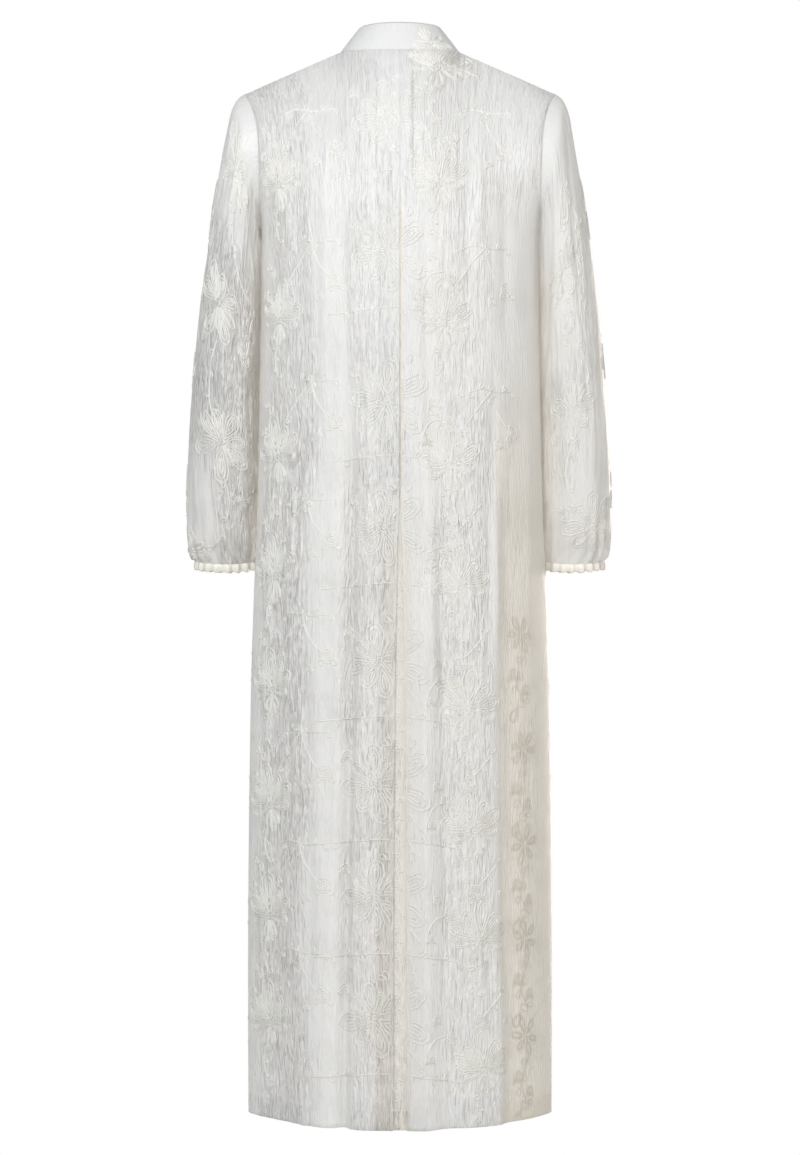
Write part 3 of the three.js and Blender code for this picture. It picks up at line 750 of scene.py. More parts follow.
fold_x, fold_deep = half_pleat(np.array([HEM_Z]), -1)
print("half of the pleat at the hem (mm):", fold_x.max().round(1), "by", fold_deep.max().round(1))

# %% Where the face cloth lies over the stitched pleat
PLEAT_STEP, STITCHED_TO, STEP_FADE = 1.7, -185, 40
# place and half width of the step at each edge of the pleat
LEFT_STEP, RIGHT_STEP = (-29.5, 2.2), (15.6, 0.8)


def over_pleat(x, z):
    """The small step that the thick stitched part of the pleat raises in the face cloth."""
    rise = smooth_step((x - LEFT_STEP[0]) / (2 * LEFT_STEP[1]) + 0.5)
    fall = smooth_step((RIGHT_STEP[0] - x) / (2 * RIGHT_STEP[1]) + 0.5)
    return PLEAT_STEP * rise * fall * smooth_step((z - STITCHED_TO) / STEP_FADE)


print("step over the pleat (mm):", over_pleat(np.array([-40, -10, 10, 40]), -100).round(2))

# %% Smooth the ridges of the form
YOKE_ROWS, SKIRT_ROWS, FACE_COLUMNS = 38, 190, 158
CHEST_BAND, CHEST_STEP, CHEST_PASSES = 17, 3, 22
CORNER_REACH, CORNER_EDGE, CORNER_FADE = 38, 14, 6
CORNER_STEP, CORNER_PASSES = 5, 14


def soften_chest(values, share):
    """Evens out the rows on both sides of the chest line, and leaves the armholes as they are."""
    rows = np.arange(len(values))
    near = np.exp(-(((rows - YOKE_ROWS) / CHEST_BAND) ** 2))[:, None]
    weight = 0.5 * near * (1 - np.abs(share) ** 30)
    step = CHEST_STEP
    for _ in range(CHEST_PASSES):
        even = (values[: -2 * step] + values[2 * step :]) / 2
        values[step:-step] = mix(values[step:-step], even, weight[step:-step, :, None])
    return values


def soften_neck_corners(values, x):
    """Spreads out the ridges that run down from the two ends of the neck curve."""
    away = np.abs(np.abs(x) - NECK_HALF_WIDTH)
    down = np.arange(len(values))[:, None] / CORNER_FADE
    weight = 0.5 * smooth_step((CORNER_REACH - away) / CORNER_EDGE) * smooth_step(down)
    step = CORNER_STEP
    for _ in range(CORNER_PASSES):
        even = (values[:, : -2 * step] + values[:, 2 * step :]) / 2
        values[:, step:-step] = mix(values[:, step:-step], even, weight[:, step:-step, None])
    return values


# %% Painted warm shade on the back
# strengths of the painted warm shade: in the pleat, at its fold line, down the right side, over the
# pleat
UNDERLAY_PAINTED_SHADE, FOLD_PAINTED_SHADE, STRIP_PAINTED_SHADE, MIDDLE_PAINTED_SHADE = 0.34, 0.7, 0.6, 0.34
FOLD_LINE, UNDERLAY_DEEP = 1.7, 1.5
# inner edge of the painted warm shade down the right side, at the top and at the hem
STRIP_EDGE, STRIP_FADE = (114, 121), 9
# the painted warm band over the pleat: its left edge at the hips and at the hem, and its right edge
MIDDLE_LEFT, MIDDLE_RIGHT = (-22, -34), 13


def painted_back_shade(x, z, deep):
    """Painted warm shade on the back, from 0 to 1, where more cloth lies behind it: in the pleat,
    along its fold, down the right side and over the pleat.
    """
    underlay = UNDERLAY_PAINTED_SHADE * smooth_step(deep / UNDERLAY_DEEP) * below(z, -500, 120)
    fold = FOLD_PAINTED_SHADE * np.exp(-((x / FOLD_LINE) ** 2)) * below(z, -170, 60)
    from_edge = x - mix(*STRIP_EDGE, z / HEM_Z)
    strip = STRIP_PAINTED_SHADE * smooth_step(from_edge / STRIP_FADE) * below(z, -330, 330)
    left, right = mix(*MIDDLE_LEFT, below(z, -900, 300)), MIDDLE_RIGHT
    middle = MIDDLE_PAINTED_SHADE * smooth_step((x - left) / 12 + 0.5) * smooth_step((right - x) / 6 + 0.5)
    middle = middle * below(z, -540, 160)
    return np.maximum(np.maximum(underlay, fold), np.maximum(strip, middle))


print("warmth beside the fold and on the strip:", painted_back_shade(np.array([20, 160]), -1000, 0).round(2))

# %% The panels' points
FRONT_GAP = 3
CRINKLE_FULL, CRINKLE_MOST = 1.7, 1.25


def panel_columns(side, rough_z, half_width):
    """For each row, the columns' distances from the centre line and their depths in the pleat."""
    arcs = np.linspace(0, HALF_GIRTH, FACE_COLUMNS)
    arcs[0] = BESIDE_FOLD
    halves = {}
    for hand in (-1, 1):
        if side == BACK:
            pleat_x, pleat_deep = half_pleat(rough_z, hand)
        else:
            pleat_x = np.full((len(rough_z), 1), FRONT_GAP)
            pleat_deep = np.zeros_like(pleat_x)
        start = pleat_x[:, -1:]
        face_x = start + (half_width - start) * share_at(arcs)[None]
        out_x = hand * np.concatenate([pleat_x, face_x], axis=1)
        halves[hand] = out_x, np.concatenate([pleat_deep, np.zeros_like(face_x)], axis=1)
    shared = 1 if side == BACK else 0
    pairs = zip(halves[-1], halves[1])
    return [np.concatenate([left[:, ::-1], right[:, shared:]], axis=1) for left, right in pairs]


def panel_points(side, folds, creases, strengths, seed):
    """The middle of a panel's cloth, from its top edge to its hem line, and its marks."""
    yoke_levels = np.linspace(0, 1, YOKE_ROWS, endpoint=False)
    level = np.concatenate([yoke_levels, np.linspace(1, 2, SKIRT_ROWS)])
    rough_z = np.where(level < 1, UNDERARM_Z * level, mix(UNDERARM_Z, HEM_Z, level - 1))
    half_width = body_points(side, 1, level)[:, :1]
    x, deep = panel_columns(side, rough_z, half_width)
    share = np.clip(x / half_width, -1, 1)
    level = level[:, None]
    outward = soften_neck_corners(body_outward(side, share, level), x)
    outward = soften_chest(outward, share)
    outward = outward / np.linalg.norm(outward, axis=-1, keepdims=True)
    plain = soften_chest(soften_neck_corners(body_points(side, share, level), x), share)
    plain_x, plain_z = plain[..., 0], plain[..., 2]

    arc = np.sign(share) * np.interp(np.abs(share), trial, ARC_TABLE)
    strength = panel_strength(strengths, arc, plain_z, seed)
    relief = fold_heights(folds, plain_x, plain_z) + crease_heights(creases, plain_x, plain_z)
    relief = relief + crinkle_heights(arc, plain_z, strength, seed)
    marks = {"crinkle": np.clip(strength / CRINKLE_FULL, 0, CRINKLE_MOST)}
    if side == BACK:
        relief = relief + over_pleat(plain_x, plain_z)
        # painted warm shade where cloth lies over cloth
        marks["painted_warm_shade"] = painted_back_shade(plain_x, plain_z, deep)
    held = (1 - np.abs(share) ** 10) * smooth_step(level * 12 + 0.04)
    return plain + outward * (relief * held - deep)[..., None], marks


# %% The hem
HEM_ROWS, HEM_GAP, HEM_ROLL = 5, 2.0, 0.7


def with_hem(points, outward):
    """Adds the turned hem: round the edge and up again behind the cloth."""
    edge, edge_out = points[-1:], outward[-1:]
    turned_under = edge - edge_out * HEM_GAP / 2 + np.array([0, 0, -HEM_ROLL])
    rows = [turned_under, edge - edge_out * HEM_GAP]
    for row in range(len(points) - 2, len(points) - 1 - HEM_ROWS, -1):
        rows.append(points[row : row + 1] - outward[row : row + 1] * HEM_GAP)
    return np.concatenate([points, *rows], axis=0)


def with_hem_rows(amounts):
    """Gives the rows of a turned hem the amounts of the last row above it."""
    return np.pad(amounts, ((0, HEM_ROWS + 1), (0, 0)), mode="edge")


# %% Make the back
back_grid, back_marks = panel_points(BACK, BACK_FOLDS, BACK_CREASES, BACK_STRENGTH, seed=0)
back_out = grid_outward(back_grid, -BACK)
back_hemmed = with_hem(back_grid, back_out)
back_marks = {mark: with_hem_rows(amounts) for mark, amounts in back_marks.items()}
back_panel, back_flat = lay_sheet("back_cloth", back_hemmed, -BACK, back_marks)
back_panel.data.materials.append(dress_cloth)
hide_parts("back_panel")

# %% [markdown]
# ## The front
#
# The front is cut plain, with a slit at the neck so that the head passes. It is laid by the same
# helper as the back, with its own folds. The slit is left by taking away the one column of grid
# cells on the centre line, down to the slit's end.

# %% Make the front
SLIT_END = -290

front_grid, front_marks = panel_points(
    FRONT, FRONT_FOLDS, FRONT_CREASES, FRONT_STRENGTH, seed=50
)
front_marks = {mark: with_hem_rows(amounts) for mark, amounts in front_marks.items()}
front_out = grid_outward(front_grid, -FRONT)
front_panel, front_flat = lay_sheet(
    "front_cloth",
    with_hem(front_grid, front_out),
    -FRONT,
    front_marks,
    cut=lambda centre: abs(centre.x) < FRONT_GAP and centre.z > SLIT_END,
)
front_panel.data.materials.append(dress_cloth)
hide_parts("front_panel")

# %% [markdown]
# ## Sleeves
#
# A sleeve is one piece of cloth closed by an underarm seam. Its rings run from the armhole, where
# they share the body's own curve, to the cuff, where elastic draws the cloth into gathers. The
# grid runs once round the arm and its two long edges are welded, as the seam closes them.
#
# A sleeve folds less than a skirt, but its folds show on its outline. They are listed one by one,
# by their place round the arm and their start and end down it. The side that lies against the
# body is pressed smooth, and takes painted warm shade there, for the light bounced between it and
# the body's cloth.

# %% Sleeve rings
# outer x of the left and right sleeve, outer z, inner x, inner z, half depth, how far forward
SLEEVE_RINGS = (
    (209.5, 209, -62.5, 179.6, -220, 70, 0),
    (216.5, 215.5, -76, 179.6, -226, 71, 2),
    (222, 221, -100, 179.8, -239, 71, 5),
    (230, 228, -140, 180.2, -266, 71, 9),
    (240, 238, -196, 180.2, -306, 70, 13),
    (251, 248.5, -268, 180.4, -360, 69, 17),
    (260.5, 258, -345, 180.8, -418, 68, 22),
    (268.5, 265.5, -423, 181.2, -478, 66, 27),
    (274, 270.5, -503, 181.6, -540, 64, 32),
    (277, 274, -576, 181.8, -593, 60, 37),
    (276, 273.5, -622, 182, -628, 50, 40),
    (272, 270.5, -648, 182.5, -649, 37, 42),
    (266, 264.5, -659, 182.5, -659, 29, 42),
)
LEFT, RIGHT = -1, 1
SLEEVE_ROWS, SLEEVE_COLUMNS = 150, 231
CUFF_LIFT = 2


def ring_points(ring, hand, angle):
    """One ring of a sleeve: angle 0 is its outer side, and the back comes next."""
    left_x, right_x, outer_z, inner_x, inner_z, depth, forward = ring
    half_x = ((left_x if hand == LEFT else right_x) - inner_x) / 2
    x = hand * (inner_x + half_x + half_x * np.cos(angle))
    y = forward - depth * np.sin(angle)
    z = (outer_z + inner_z) / 2 + (outer_z - inner_z) / 2 * np.cos(angle)
    return np.stack([x, y, z], axis=-1)


def sleeve_form(hand, angle):
    """Key rings of the sleeve, the armhole first, and how far each is from it along the arm."""
    over_back = angle <= np.pi
    steps = np.where(over_back, angle, 2 * np.pi - angle)
    seam = np.where(
        over_back[:, None],
        armhole_points(BACK, hand, steps),
        armhole_points(FRONT, hand, steps),
    )
    rings = [seam] + [ring_points(ring, hand, angle) for ring in SLEEVE_RINGS]
    rings[-1][:, 2] += CUFF_LIFT * np.cos(2 * angle)
    rings = np.array(rings)
    spacing = np.linalg.norm(np.diff(rings, axis=0), axis=-1).mean(axis=1)
    return np.concatenate([[0], np.cumsum(spacing)]), rings


print("rings of a sleeve:", len(SLEEVE_RINGS) + 1)

# %% Folds of the sleeves
# share round at the top and bottom, share down where it starts and ends, width in mm, depth
SLEEVE_FOLDS = {
    LEFT: (
        (0.37, 0.34, -0.15, 0.24, 5, -4.0),
        (0.31, 0.29, -0.12, 0.28, 5, 3.4),
        (0.42, 0.40, -0.05, 0.22, 4, -3.0),
        (0.30, 0.22, -0.10, 0.35, 12, -4.0),
        (0.25, 0.17, 0.02, 0.42, 11, 4.0),
        (0.38, 0.30, 0.05, 0.50, 12, -3.6),
        (0.16, 0.13, 0.30, 0.80, 10, -3.4),
        (0.22, 0.24, 0.38, 0.95, 11, 3.6),
        (0.34, 0.36, 0.30, 0.85, 11, 3.6),
        (0.28, 0.31, 0.50, 1.05, 9, -3.6),
        (0.10, 0.08, 0.20, 0.90, 10, -2.6),
        (0.42, 0.43, 0.45, 1.02, 9, -2.8),
        (0.64, 0.60, 0.10, 0.80, 12, -3.4),
        (0.74, 0.72, 0.35, 0.95, 12, 3.4),
        (0.86, 0.84, 0.20, 0.85, 12, -3.0),
    ),
    RIGHT: (
        (0.36, 0.33, -0.12, 0.20, 5, -3.0),
        (0.24, 0.34, -0.06, 0.40, 11, 4.2),
        (0.33, 0.42, 0.00, 0.52, 11, -4.0),
        (0.14, 0.22, 0.02, 0.48, 11, -3.8),
        (0.20, 0.28, 0.30, 0.80, 11, 3.4),
        (0.10, 0.12, 0.35, 0.95, 10, -3.0),
        (0.34, 0.33, 0.55, 1.02, 10, -3.6),
        (0.26, 0.24, 0.60, 1.03, 9, -2.8),
        (0.42, 0.40, 0.50, 1.02, 9, 2.6),
        (0.62, 0.60, 0.15, 0.85, 12, -3.4),
        (0.73, 0.76, 0.30, 0.95, 12, 3.4),
        (0.87, 0.84, 0.25, 0.90, 12, -3.0),
    ),
}
SLEEVE_FOLD_SIZE, FOLD_ENDS = 0.52, 0.3
GATHER_WAVES, GATHER_START, GATHER_HEIGHT, GATHER_DRIFT = 17, 0.8, 2.6, 0.9
ARM_RADIUS = 90
SLEEVE_CRINKLE, SLEEVE_SEEDS = {LEFT: 1.5, RIGHT: 0.9}, {LEFT: 70, RIGHT: 80}
BODY_SIDE_WIDTH, BODY_SIDE_SWELL = 0.045, 0.8


def sleeve_relief(hand, share, down, girth, length):
    """Heights of the folds, gathers and crinkle of a sleeve, by share round and share down."""
    total = np.zeros(np.broadcast(share, down).shape)
    for top, bottom, start, end, width, depth in SLEEVE_FOLDS[hand]:
        along = (down - start) / (end - start)
        off = share - mix(top, bottom, np.clip(along, 0, 1))
        away = ((off + 0.5) % 1 - 0.5) * girth / width
        ends = smooth_step(along / FOLD_ENDS + 0.3) * smooth_step((1 - along) / FOLD_ENDS + 0.3)
        total = total + SLEEVE_FOLD_SIZE * depth * np.exp(-(away**2)) * ends
    seed = SLEEVE_SEEDS[hand]
    around = np.cos(2 * np.pi * share) * ARM_RADIUS
    across = np.sin(2 * np.pi * share) * ARM_RADIUS
    drift = GATHER_DRIFT * smooth_noise(around + across, down * length, 50, 400, seed)
    wave = drift + 2 * np.pi * share * GATHER_WAVES
    near_cuff = smooth_step((down - GATHER_START) / (1 - GATHER_START))
    uneven = 0.7 + 0.5 * smooth_noise(share * 11, share * 0, 1, 1, seed + 1)
    total = total + near_cuff * GATHER_HEIGHT * uneven * np.cos(wave)
    crinkle = crinkle_heights(share * girth, down * length, SLEEVE_CRINKLE[hand], seed)
    off_outline = smooth_step(8 * np.minimum(share, 1 - share))
    total = total + crinkle * mix(0.5, 1, off_outline)
    against_body = np.exp(-(((share - 0.5) / BODY_SIDE_WIDTH) ** 2))
    return mix(total, BODY_SIDE_SWELL, against_body)


def sleeve_points(hand):
    angle = np.linspace(0, 2 * np.pi, SLEEVE_COLUMNS)
    knots, rings = sleeve_form(hand, angle)
    length = knots[-1]
    down = np.linspace(0, 1, SLEEVE_ROWS)
    plain = smooth_through(knots, rings, down * length)
    outward = grid_outward(plain, -hand, closed=True)
    share = (angle / (2 * np.pi))[None]
    girth = np.linalg.norm(np.diff(plain, axis=1), axis=-1).sum(axis=1)[:, None]
    relief = sleeve_relief(hand, share, down[:, None], girth, length)
    held = smooth_step(down[:, None] * 16) * smooth_step((1 - down[:, None]) * 30 + 0.35)
    points = plain + outward * (relief * held)[..., None]
    points[:, -1] = points[:, 0]
    return points, girth[:, 0], length


# %% Marks of the sleeves
# painted warm shade on the side of a sleeve against the body: its strength and its width round the arm
SLEEVE_PAINTED_SHADE, PAINTED_SHADE_SIDE = 0.75, 0.13
MARK_STRENGTH = {LEFT: 1.2, RIGHT: 0.5}
# the inner part of a sleeve's cap is smooth: how far down it reaches, and its place and half width
CAP_REACH, CAP_PLACE, CAP_WIDTH, CAP_CALM = 0.32, 0.46, 0.17, 0.95


def sleeve_marks(hand, shape):
    """Amounts for the finish: fine crinkle in uneven patches, and painted warm shade beside the body.
    """
    share = np.linspace(0, 1, shape[1])[None]
    down = np.linspace(0, 1, shape[0])[:, None]
    near_body = np.exp(-(((share - 0.5) / PAINTED_SHADE_SIDE) ** 2))
    bare = smooth_step(0.7 + 1.3 * smooth_noise(share * 480, down * 540, 90, 150, 77 + hand))
    inner_cap = np.exp(-(((share - CAP_PLACE) / CAP_WIDTH) ** 2))
    inner_cap = smooth_step((CAP_REACH - down) / 0.12) * inner_cap
    strength = MARK_STRENGTH[hand] * bare * (1 - CAP_CALM * inner_cap)
    # painted warm shade where the sleeve lies against the body
    painted_warm_shade = SLEEVE_PAINTED_SHADE * near_body * smooth_step(down * 5 - 0.4)
    return {"painted_warm_shade": painted_warm_shade, "crinkle": strength}


trial_marks = sleeve_marks(LEFT, (40, 60))
print("strongest crinkle mark of the left sleeve:", trial_marks["crinkle"].max().round(2))

# %% Make the sleeves
sleeves = {}
for hand, side_name in ((LEFT, "left"), (RIGHT, "right")):
    grid, girth, length = sleeve_points(hand)
    marks = sleeve_marks(hand, grid.shape)
    piece, flat = lay_sheet(f"sleeve_cloth_{side_name}", grid, -hand, marks, closed=True)
    piece.data.materials.append(dress_cloth)
    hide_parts(f"sleeve_{side_name}")
    sleeves[hand] = {"grid": grid, "girth": girth, "length": length, "piece": piece, "flat": flat}
    print("sleeve length (mm):", round(length), "girth at the top and cuff:", girth[[0, -1]].round())

# %% [markdown]
# ## Cuffs
#
# Each cuff is a narrow doubled band with elastic inside. The elastic draws it into many small
# round lobes, so its lower edge is scalloped. The grid runs down the outside, round the lower edge
# and up the inside, and small uneven waves round it make the lobes.

# %% Make the cuffs
CUFF_HEIGHT, CUFF_WALL = 10.5, 2.0
CUFF_LOBES, LOBE_HEIGHT, EDGE_SCALLOP = 20, 1.5, 1.1
CUFF_COLUMNS = 361
# share of the height, place across the band's thickness
CUFF_PROFILE = (
    (0.00, 0.5),
    (0.12, 0.62),
    (0.35, 0.9),
    (0.6, 0.9),
    (0.85, 0.6),
    (0.97, 0.35),
    (1.0, 0.0),
    (0.97, -0.35),
    (0.8, -0.5),
    (0.4, -0.5),
    (0.0, -0.5),
)


def cuff_points(hand):
    angle = np.linspace(0, 2 * np.pi, CUFF_COLUMNS)
    wobble = 0.5 * np.sin(3 * angle + hand) + 0.35 * np.sin(7 * angle)
    lobe = np.cos(CUFF_LOBES * angle + wobble)
    size = 1 + 0.28 * np.sin(5 * angle + 2 * hand)
    base = ring_points(SLEEVE_RINGS[-1], hand, angle)
    outward = np.stack([hand * np.cos(angle), -np.sin(angle), 0 * angle], axis=-1)
    lift = CUFF_LIFT * np.cos(2 * angle)
    rows = []
    for share, across in CUFF_PROFILE:
        swell = CUFF_WALL * across + LOBE_HEIGHT * size * lobe * mix(0.55, 1, share)
        row = base + outward * swell[:, None]
        row[:, 2] += lift - CUFF_HEIGHT * share - EDGE_SCALLOP * size * lobe * share
        rows.append(row)
    points = np.array(rows)
    points[:, -1] = points[:, 0]
    return points


for hand, side_name in ((LEFT, "left"), (RIGHT, "right")):
    piece, flat = lay_sheet(f"cuff_band_{side_name}", cuff_points(hand), -hand, closed=True)
    piece.data.materials.append(cuff_cloth)
    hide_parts(f"cuff_{side_name}")

# %% [markdown]
# ## Stand collar
#
# The collar is a doubled band that stands on the neck seam and leans inwards. The grid goes once
# round the neck, from one side of the front slit to the other, up the outside, over a soft fold
# at the top and down the inside.

# %% Make the collar
COLLAR_HALF_WIDTH, COLLAR_HEIGHT, COLLAR_FRONT_DROP = 51, 30, 54
COLLAR_WALL, COLLAR_RIPPLE, COLLAR_CROWN = 2.0, 0.35, 0.6
COLLAR_DEPTH = {BACK: 45, FRONT: 50}
COLLAR_COLUMNS = 201
COLLAR_RISE = (0.0, 0.15, 0.35, 0.55, 0.75, 0.9, 0.97, 1.0)


def collar_points():
    """Rows of the collar from its outer seam over the top fold to its inner seam."""
    front_angle = math.acos(FRONT_GAP / NECK_HALF_WIDTH)
    angle = np.linspace(front_angle, -math.pi - front_angle, COLLAR_COLUMNS)
    x = NECK_HALF_WIDTH * np.cos(angle)
    at_front = (np.sin(angle) > 0)[:, None]
    around = np.abs(np.sin(angle))
    base = np.where(at_front, neck_points(FRONT, x), neck_points(BACK, x))
    depth = np.where(at_front[:, 0], COLLAR_DEPTH[FRONT], -COLLAR_DEPTH[BACK])
    drop = np.where(at_front[:, 0], COLLAR_FRONT_DROP, 0)
    top_x = mix(COLLAR_HALF_WIDTH * np.cos(angle), x, np.where(at_front[:, 0], around**40, 0))
    top = np.stack([top_x, depth * around, COLLAR_HEIGHT - drop * around**2], axis=-1)
    middle = np.array([mix(base, top, rise) for rise in COLLAR_RISE])
    outward = grid_outward(middle, -1)
    flip = np.sign((outward * middle * np.array([1, 1, 0])).sum(axis=-1, keepdims=True).mean())
    outward = outward * flip
    rise = np.array(COLLAR_RISE)
    column = np.arange(COLLAR_COLUMNS)
    closing = smooth_step(np.minimum(column, column[::-1]) / 3 + 0.15)
    soft_top = np.sqrt(np.clip(1 - np.clip((rise - 0.9) / 0.1, 0, 1) ** 2, 0, 1))
    rolled = mix(0.25, 1, smooth_step(rise / 0.3))
    half = COLLAR_WALL / 2 * (soft_top * rolled)[:, None, None] * closing[None, :, None]
    ripple = COLLAR_RIPPLE * smooth_noise(angle * 60, angle * 0, 9, 1, 91)[None, :, None]
    crown = middle.copy()
    crown[-1, :, 2] += COLLAR_CROWN
    outer = crown + outward * (half + ripple * rise[:, None, None])
    inner = crown - outward * half + outward * ripple * rise[:, None, None]
    return np.concatenate([outer, inner[-2::-1]], axis=0), outer[::-1]


collar_grid, collar_face = collar_points()
collar, collar_flat = lay_sheet("collar_band", collar_grid[::-1], -1)
collar.data.materials.append(collar_cloth)
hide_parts("collar")

# %% [markdown]
# ## Cord on cloth
#
# The flowers are drawn in cord, a round thread a millimetre or two wide that is laid on the cloth
# and caught down. Each run of cord is a narrow strip with a raised middle. It starts as a small
# grid, and its points are set on the finished cloth, so it follows every crinkle. A helper finds
# the cloth at a flat place, by mixing the four grid points round it. A curve with a round bevel
# would also do, but it costs four times as many faces, and there are hundreds of runs.

# %% Find a place on a sheet
def read_grid(values, row, column):
    """Mixes the four entries of a grid round each fractional row and column."""
    row = np.clip(row, 0, values.shape[0] - 1.001)
    column = np.clip(column, 0, values.shape[1] - 1.001)
    r, c = row.astype(int), column.astype(int)
    fr, fc = (row - r)[:, None], (column - c)[:, None]
    top = mix(values[r, c], values[r, c + 1], fc)
    low = mix(values[r + 1, c], values[r + 1, c + 1], fc)
    return mix(top, low, fr)


class PanelPlace:
    """Places on the open cloth of a panel, by arc from the centre line and height."""

    def __init__(self, side, grid, outward):
        self.side, self.grid, self.outward = side, grid, outward
        self.columns = grid.shape[1]

    def column(self, arc):
        steps = (FACE_COLUMNS - 1) * np.abs(arc) / HALF_GIRTH
        right = self.columns - FACE_COLUMNS + steps
        return np.where(arc >= 0, right, self.columns - 1 - right)

    def find(self, arc, z):
        arc = np.clip(arc, -HALF_GIRTH, HALF_GIRTH)
        column = self.column(arc)
        row = np.clip((UNDERARM_Z - z) / (UNDERARM_Z - HEM_Z), 0, 1) * (SKIRT_ROWS - 1) + YOKE_ROWS
        row = np.where(z > UNDERARM_Z, YOKE_ROWS * np.clip(z / UNDERARM_Z, 0, 1), row)
        for _ in range(6):
            here = read_grid(self.grid, row, column)[:, 2]
            below = read_grid(self.grid, np.minimum(row + 1, self.grid.shape[0] - 1.01), column)[:, 2]
            fall = np.minimum(below - here, -1.0)
            row = np.clip(row + (z - here) / fall, 0, self.grid.shape[0] - 1.01)
        return read_grid(self.grid, row, column), read_grid(self.outward, row, column)


class SleevePlace:
    """Places on a sleeve, by mm round the arm from its back middle and mm down from the armhole."""

    def __init__(self, hand, grid, girth, length):
        self.hand, self.grid, self.girth, self.length = hand, grid, girth, length
        self.outward = grid_outward(grid, -hand, closed=True)

    def find(self, around, down):
        row = np.clip(down / self.length, 0, 1) * (SLEEVE_ROWS - 1)
        girth = np.interp(row, np.arange(SLEEVE_ROWS), self.girth)
        share = (0.25 - around / girth) % 1
        column = share * (SLEEVE_COLUMNS - 1)
        return read_grid(self.grid, row, column), read_grid(self.outward, row, column)


back_place = PanelPlace(BACK, back_grid, back_out)
front_place = PanelPlace(FRONT, front_grid, front_out)
found, _ = back_place.find(np.array([20.0]), np.array([-800.0]))
print("the back's cloth 20 mm from its middle, at the hips (mm):", found.round(1))

# %% Lay runs of cord
CORD_WIDTH, CORD_HEIGHT, CORD_STEP = 1.45, 1.4, 1.9
CORD_SIDES, CORD_SUNK, CORD_END = 3, 0.15, 0.4


def even_steps(run, step):
    """The same run of flat points, read at even steps along it."""
    run = np.asarray(run, float)
    lengths = np.concatenate([[0], np.cumsum(np.linalg.norm(np.diff(run, axis=0), axis=1))])
    count = max(3, int(round(lengths[-1] / step)) + 1)
    at = np.linspace(0, lengths[-1], count)
    return np.stack([np.interp(at, lengths, run[:, 0]), np.interp(at, lengths, run[:, 1])], axis=1)


def lay_cords(name, place, runs, material, step=CORD_STEP, width=CORD_WIDTH, height=CORD_HEIGHT):
    """One piece made of many runs of cord, each a list of flat places on the same cloth."""
    runs = [even_steps(run, step) for run in runs]
    shape = bmesh.new()
    for run in runs:
        bmesh.ops.create_grid(shape, x_segments=CORD_SIDES - 1, y_segments=len(run) - 1, size=0.5)
    mesh = bpy.data.meshes.new(name)
    shape.to_mesh(mesh)
    shape.free()
    flat = np.concatenate(runs)
    middle, outward = place.find(flat[:, 0], flat[:, 1])
    ends = np.cumsum([len(run) for run in runs])
    ahead = np.roll(middle, -1, axis=0) - middle
    ahead[ends - 1] = ahead[ends - 2]
    ahead[ends[:-1]] = middle[ends[:-1] + 1] - middle[ends[:-1]]
    tangent = ahead / np.maximum(np.linalg.norm(ahead, axis=1, keepdims=True), 1e-6)
    aside = np.cross(tangent, outward)
    aside = aside / np.maximum(np.linalg.norm(aside, axis=1, keepdims=True), 1e-6)
    taper = np.ones(len(flat))
    taper[ends - 1] = CORD_END
    taper[np.concatenate([[0], ends[:-1]])] = CORD_END
    taper = taper[:, None]
    sunk = outward * CORD_SUNK
    sections = [
        middle - aside * width / 2 * taper - sunk,
        middle + outward * height * taper,
        middle + aside * width / 2 * taper - sunk,
    ]
    points = np.stack(sections, axis=1)
    mesh.vertices.foreach_set("co", (points * MM).astype(np.float32).ravel())
    along = np.concatenate([np.arange(len(run)) * step for run in runs]) * MM
    across = np.linspace(0, width, CORD_SIDES) * MM
    uv = np.stack([np.tile(across, len(flat)), np.repeat(along, CORD_SIDES)], axis=1)
    corners = np.empty(len(mesh.loops), np.int32)
    mesh.loops.foreach_get("vertex_index", corners)
    cord_map = mesh.uv_layers.new(name="cord")
    cord_map.data.foreach_set("uv", uv[corners].astype(np.float32).ravel())
    mesh.polygons.foreach_set("use_smooth", np.ones(len(mesh.polygons), bool))
    mesh.materials.append(material)
    piece = bpy.data.objects.new(name, mesh)
    bpy.context.collection.objects.link(piece)
    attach(piece, "root")
    print(name, "has", len(runs), "runs and", len(mesh.polygons) * 2, "triangles")
    return piece


# %% [markdown]
# ## Cord finish
#
# The cord is a matt cream yarn of two twisted strands. Slanting bands along the strip give the
# twist, and bending the bands a little makes the yarn uneven. Sewing thread has the same make in a
# finer size. The cord on the inner side is painted a dark tan, a painted shade for cord seen in
# silhouette against the light through the cloth.

# %% Thread materials
YARN = {"Roughness": 0.62, "Specular IOR Level": 0.35, "Sheen Weight": 0.15}
TWIST_SLANT, TWIST_UNEVEN = (0, 0, math.radians(35)), 0.6
TWIST_STRENGTH, TWIST_DEPTH = 0.5, 0.0002


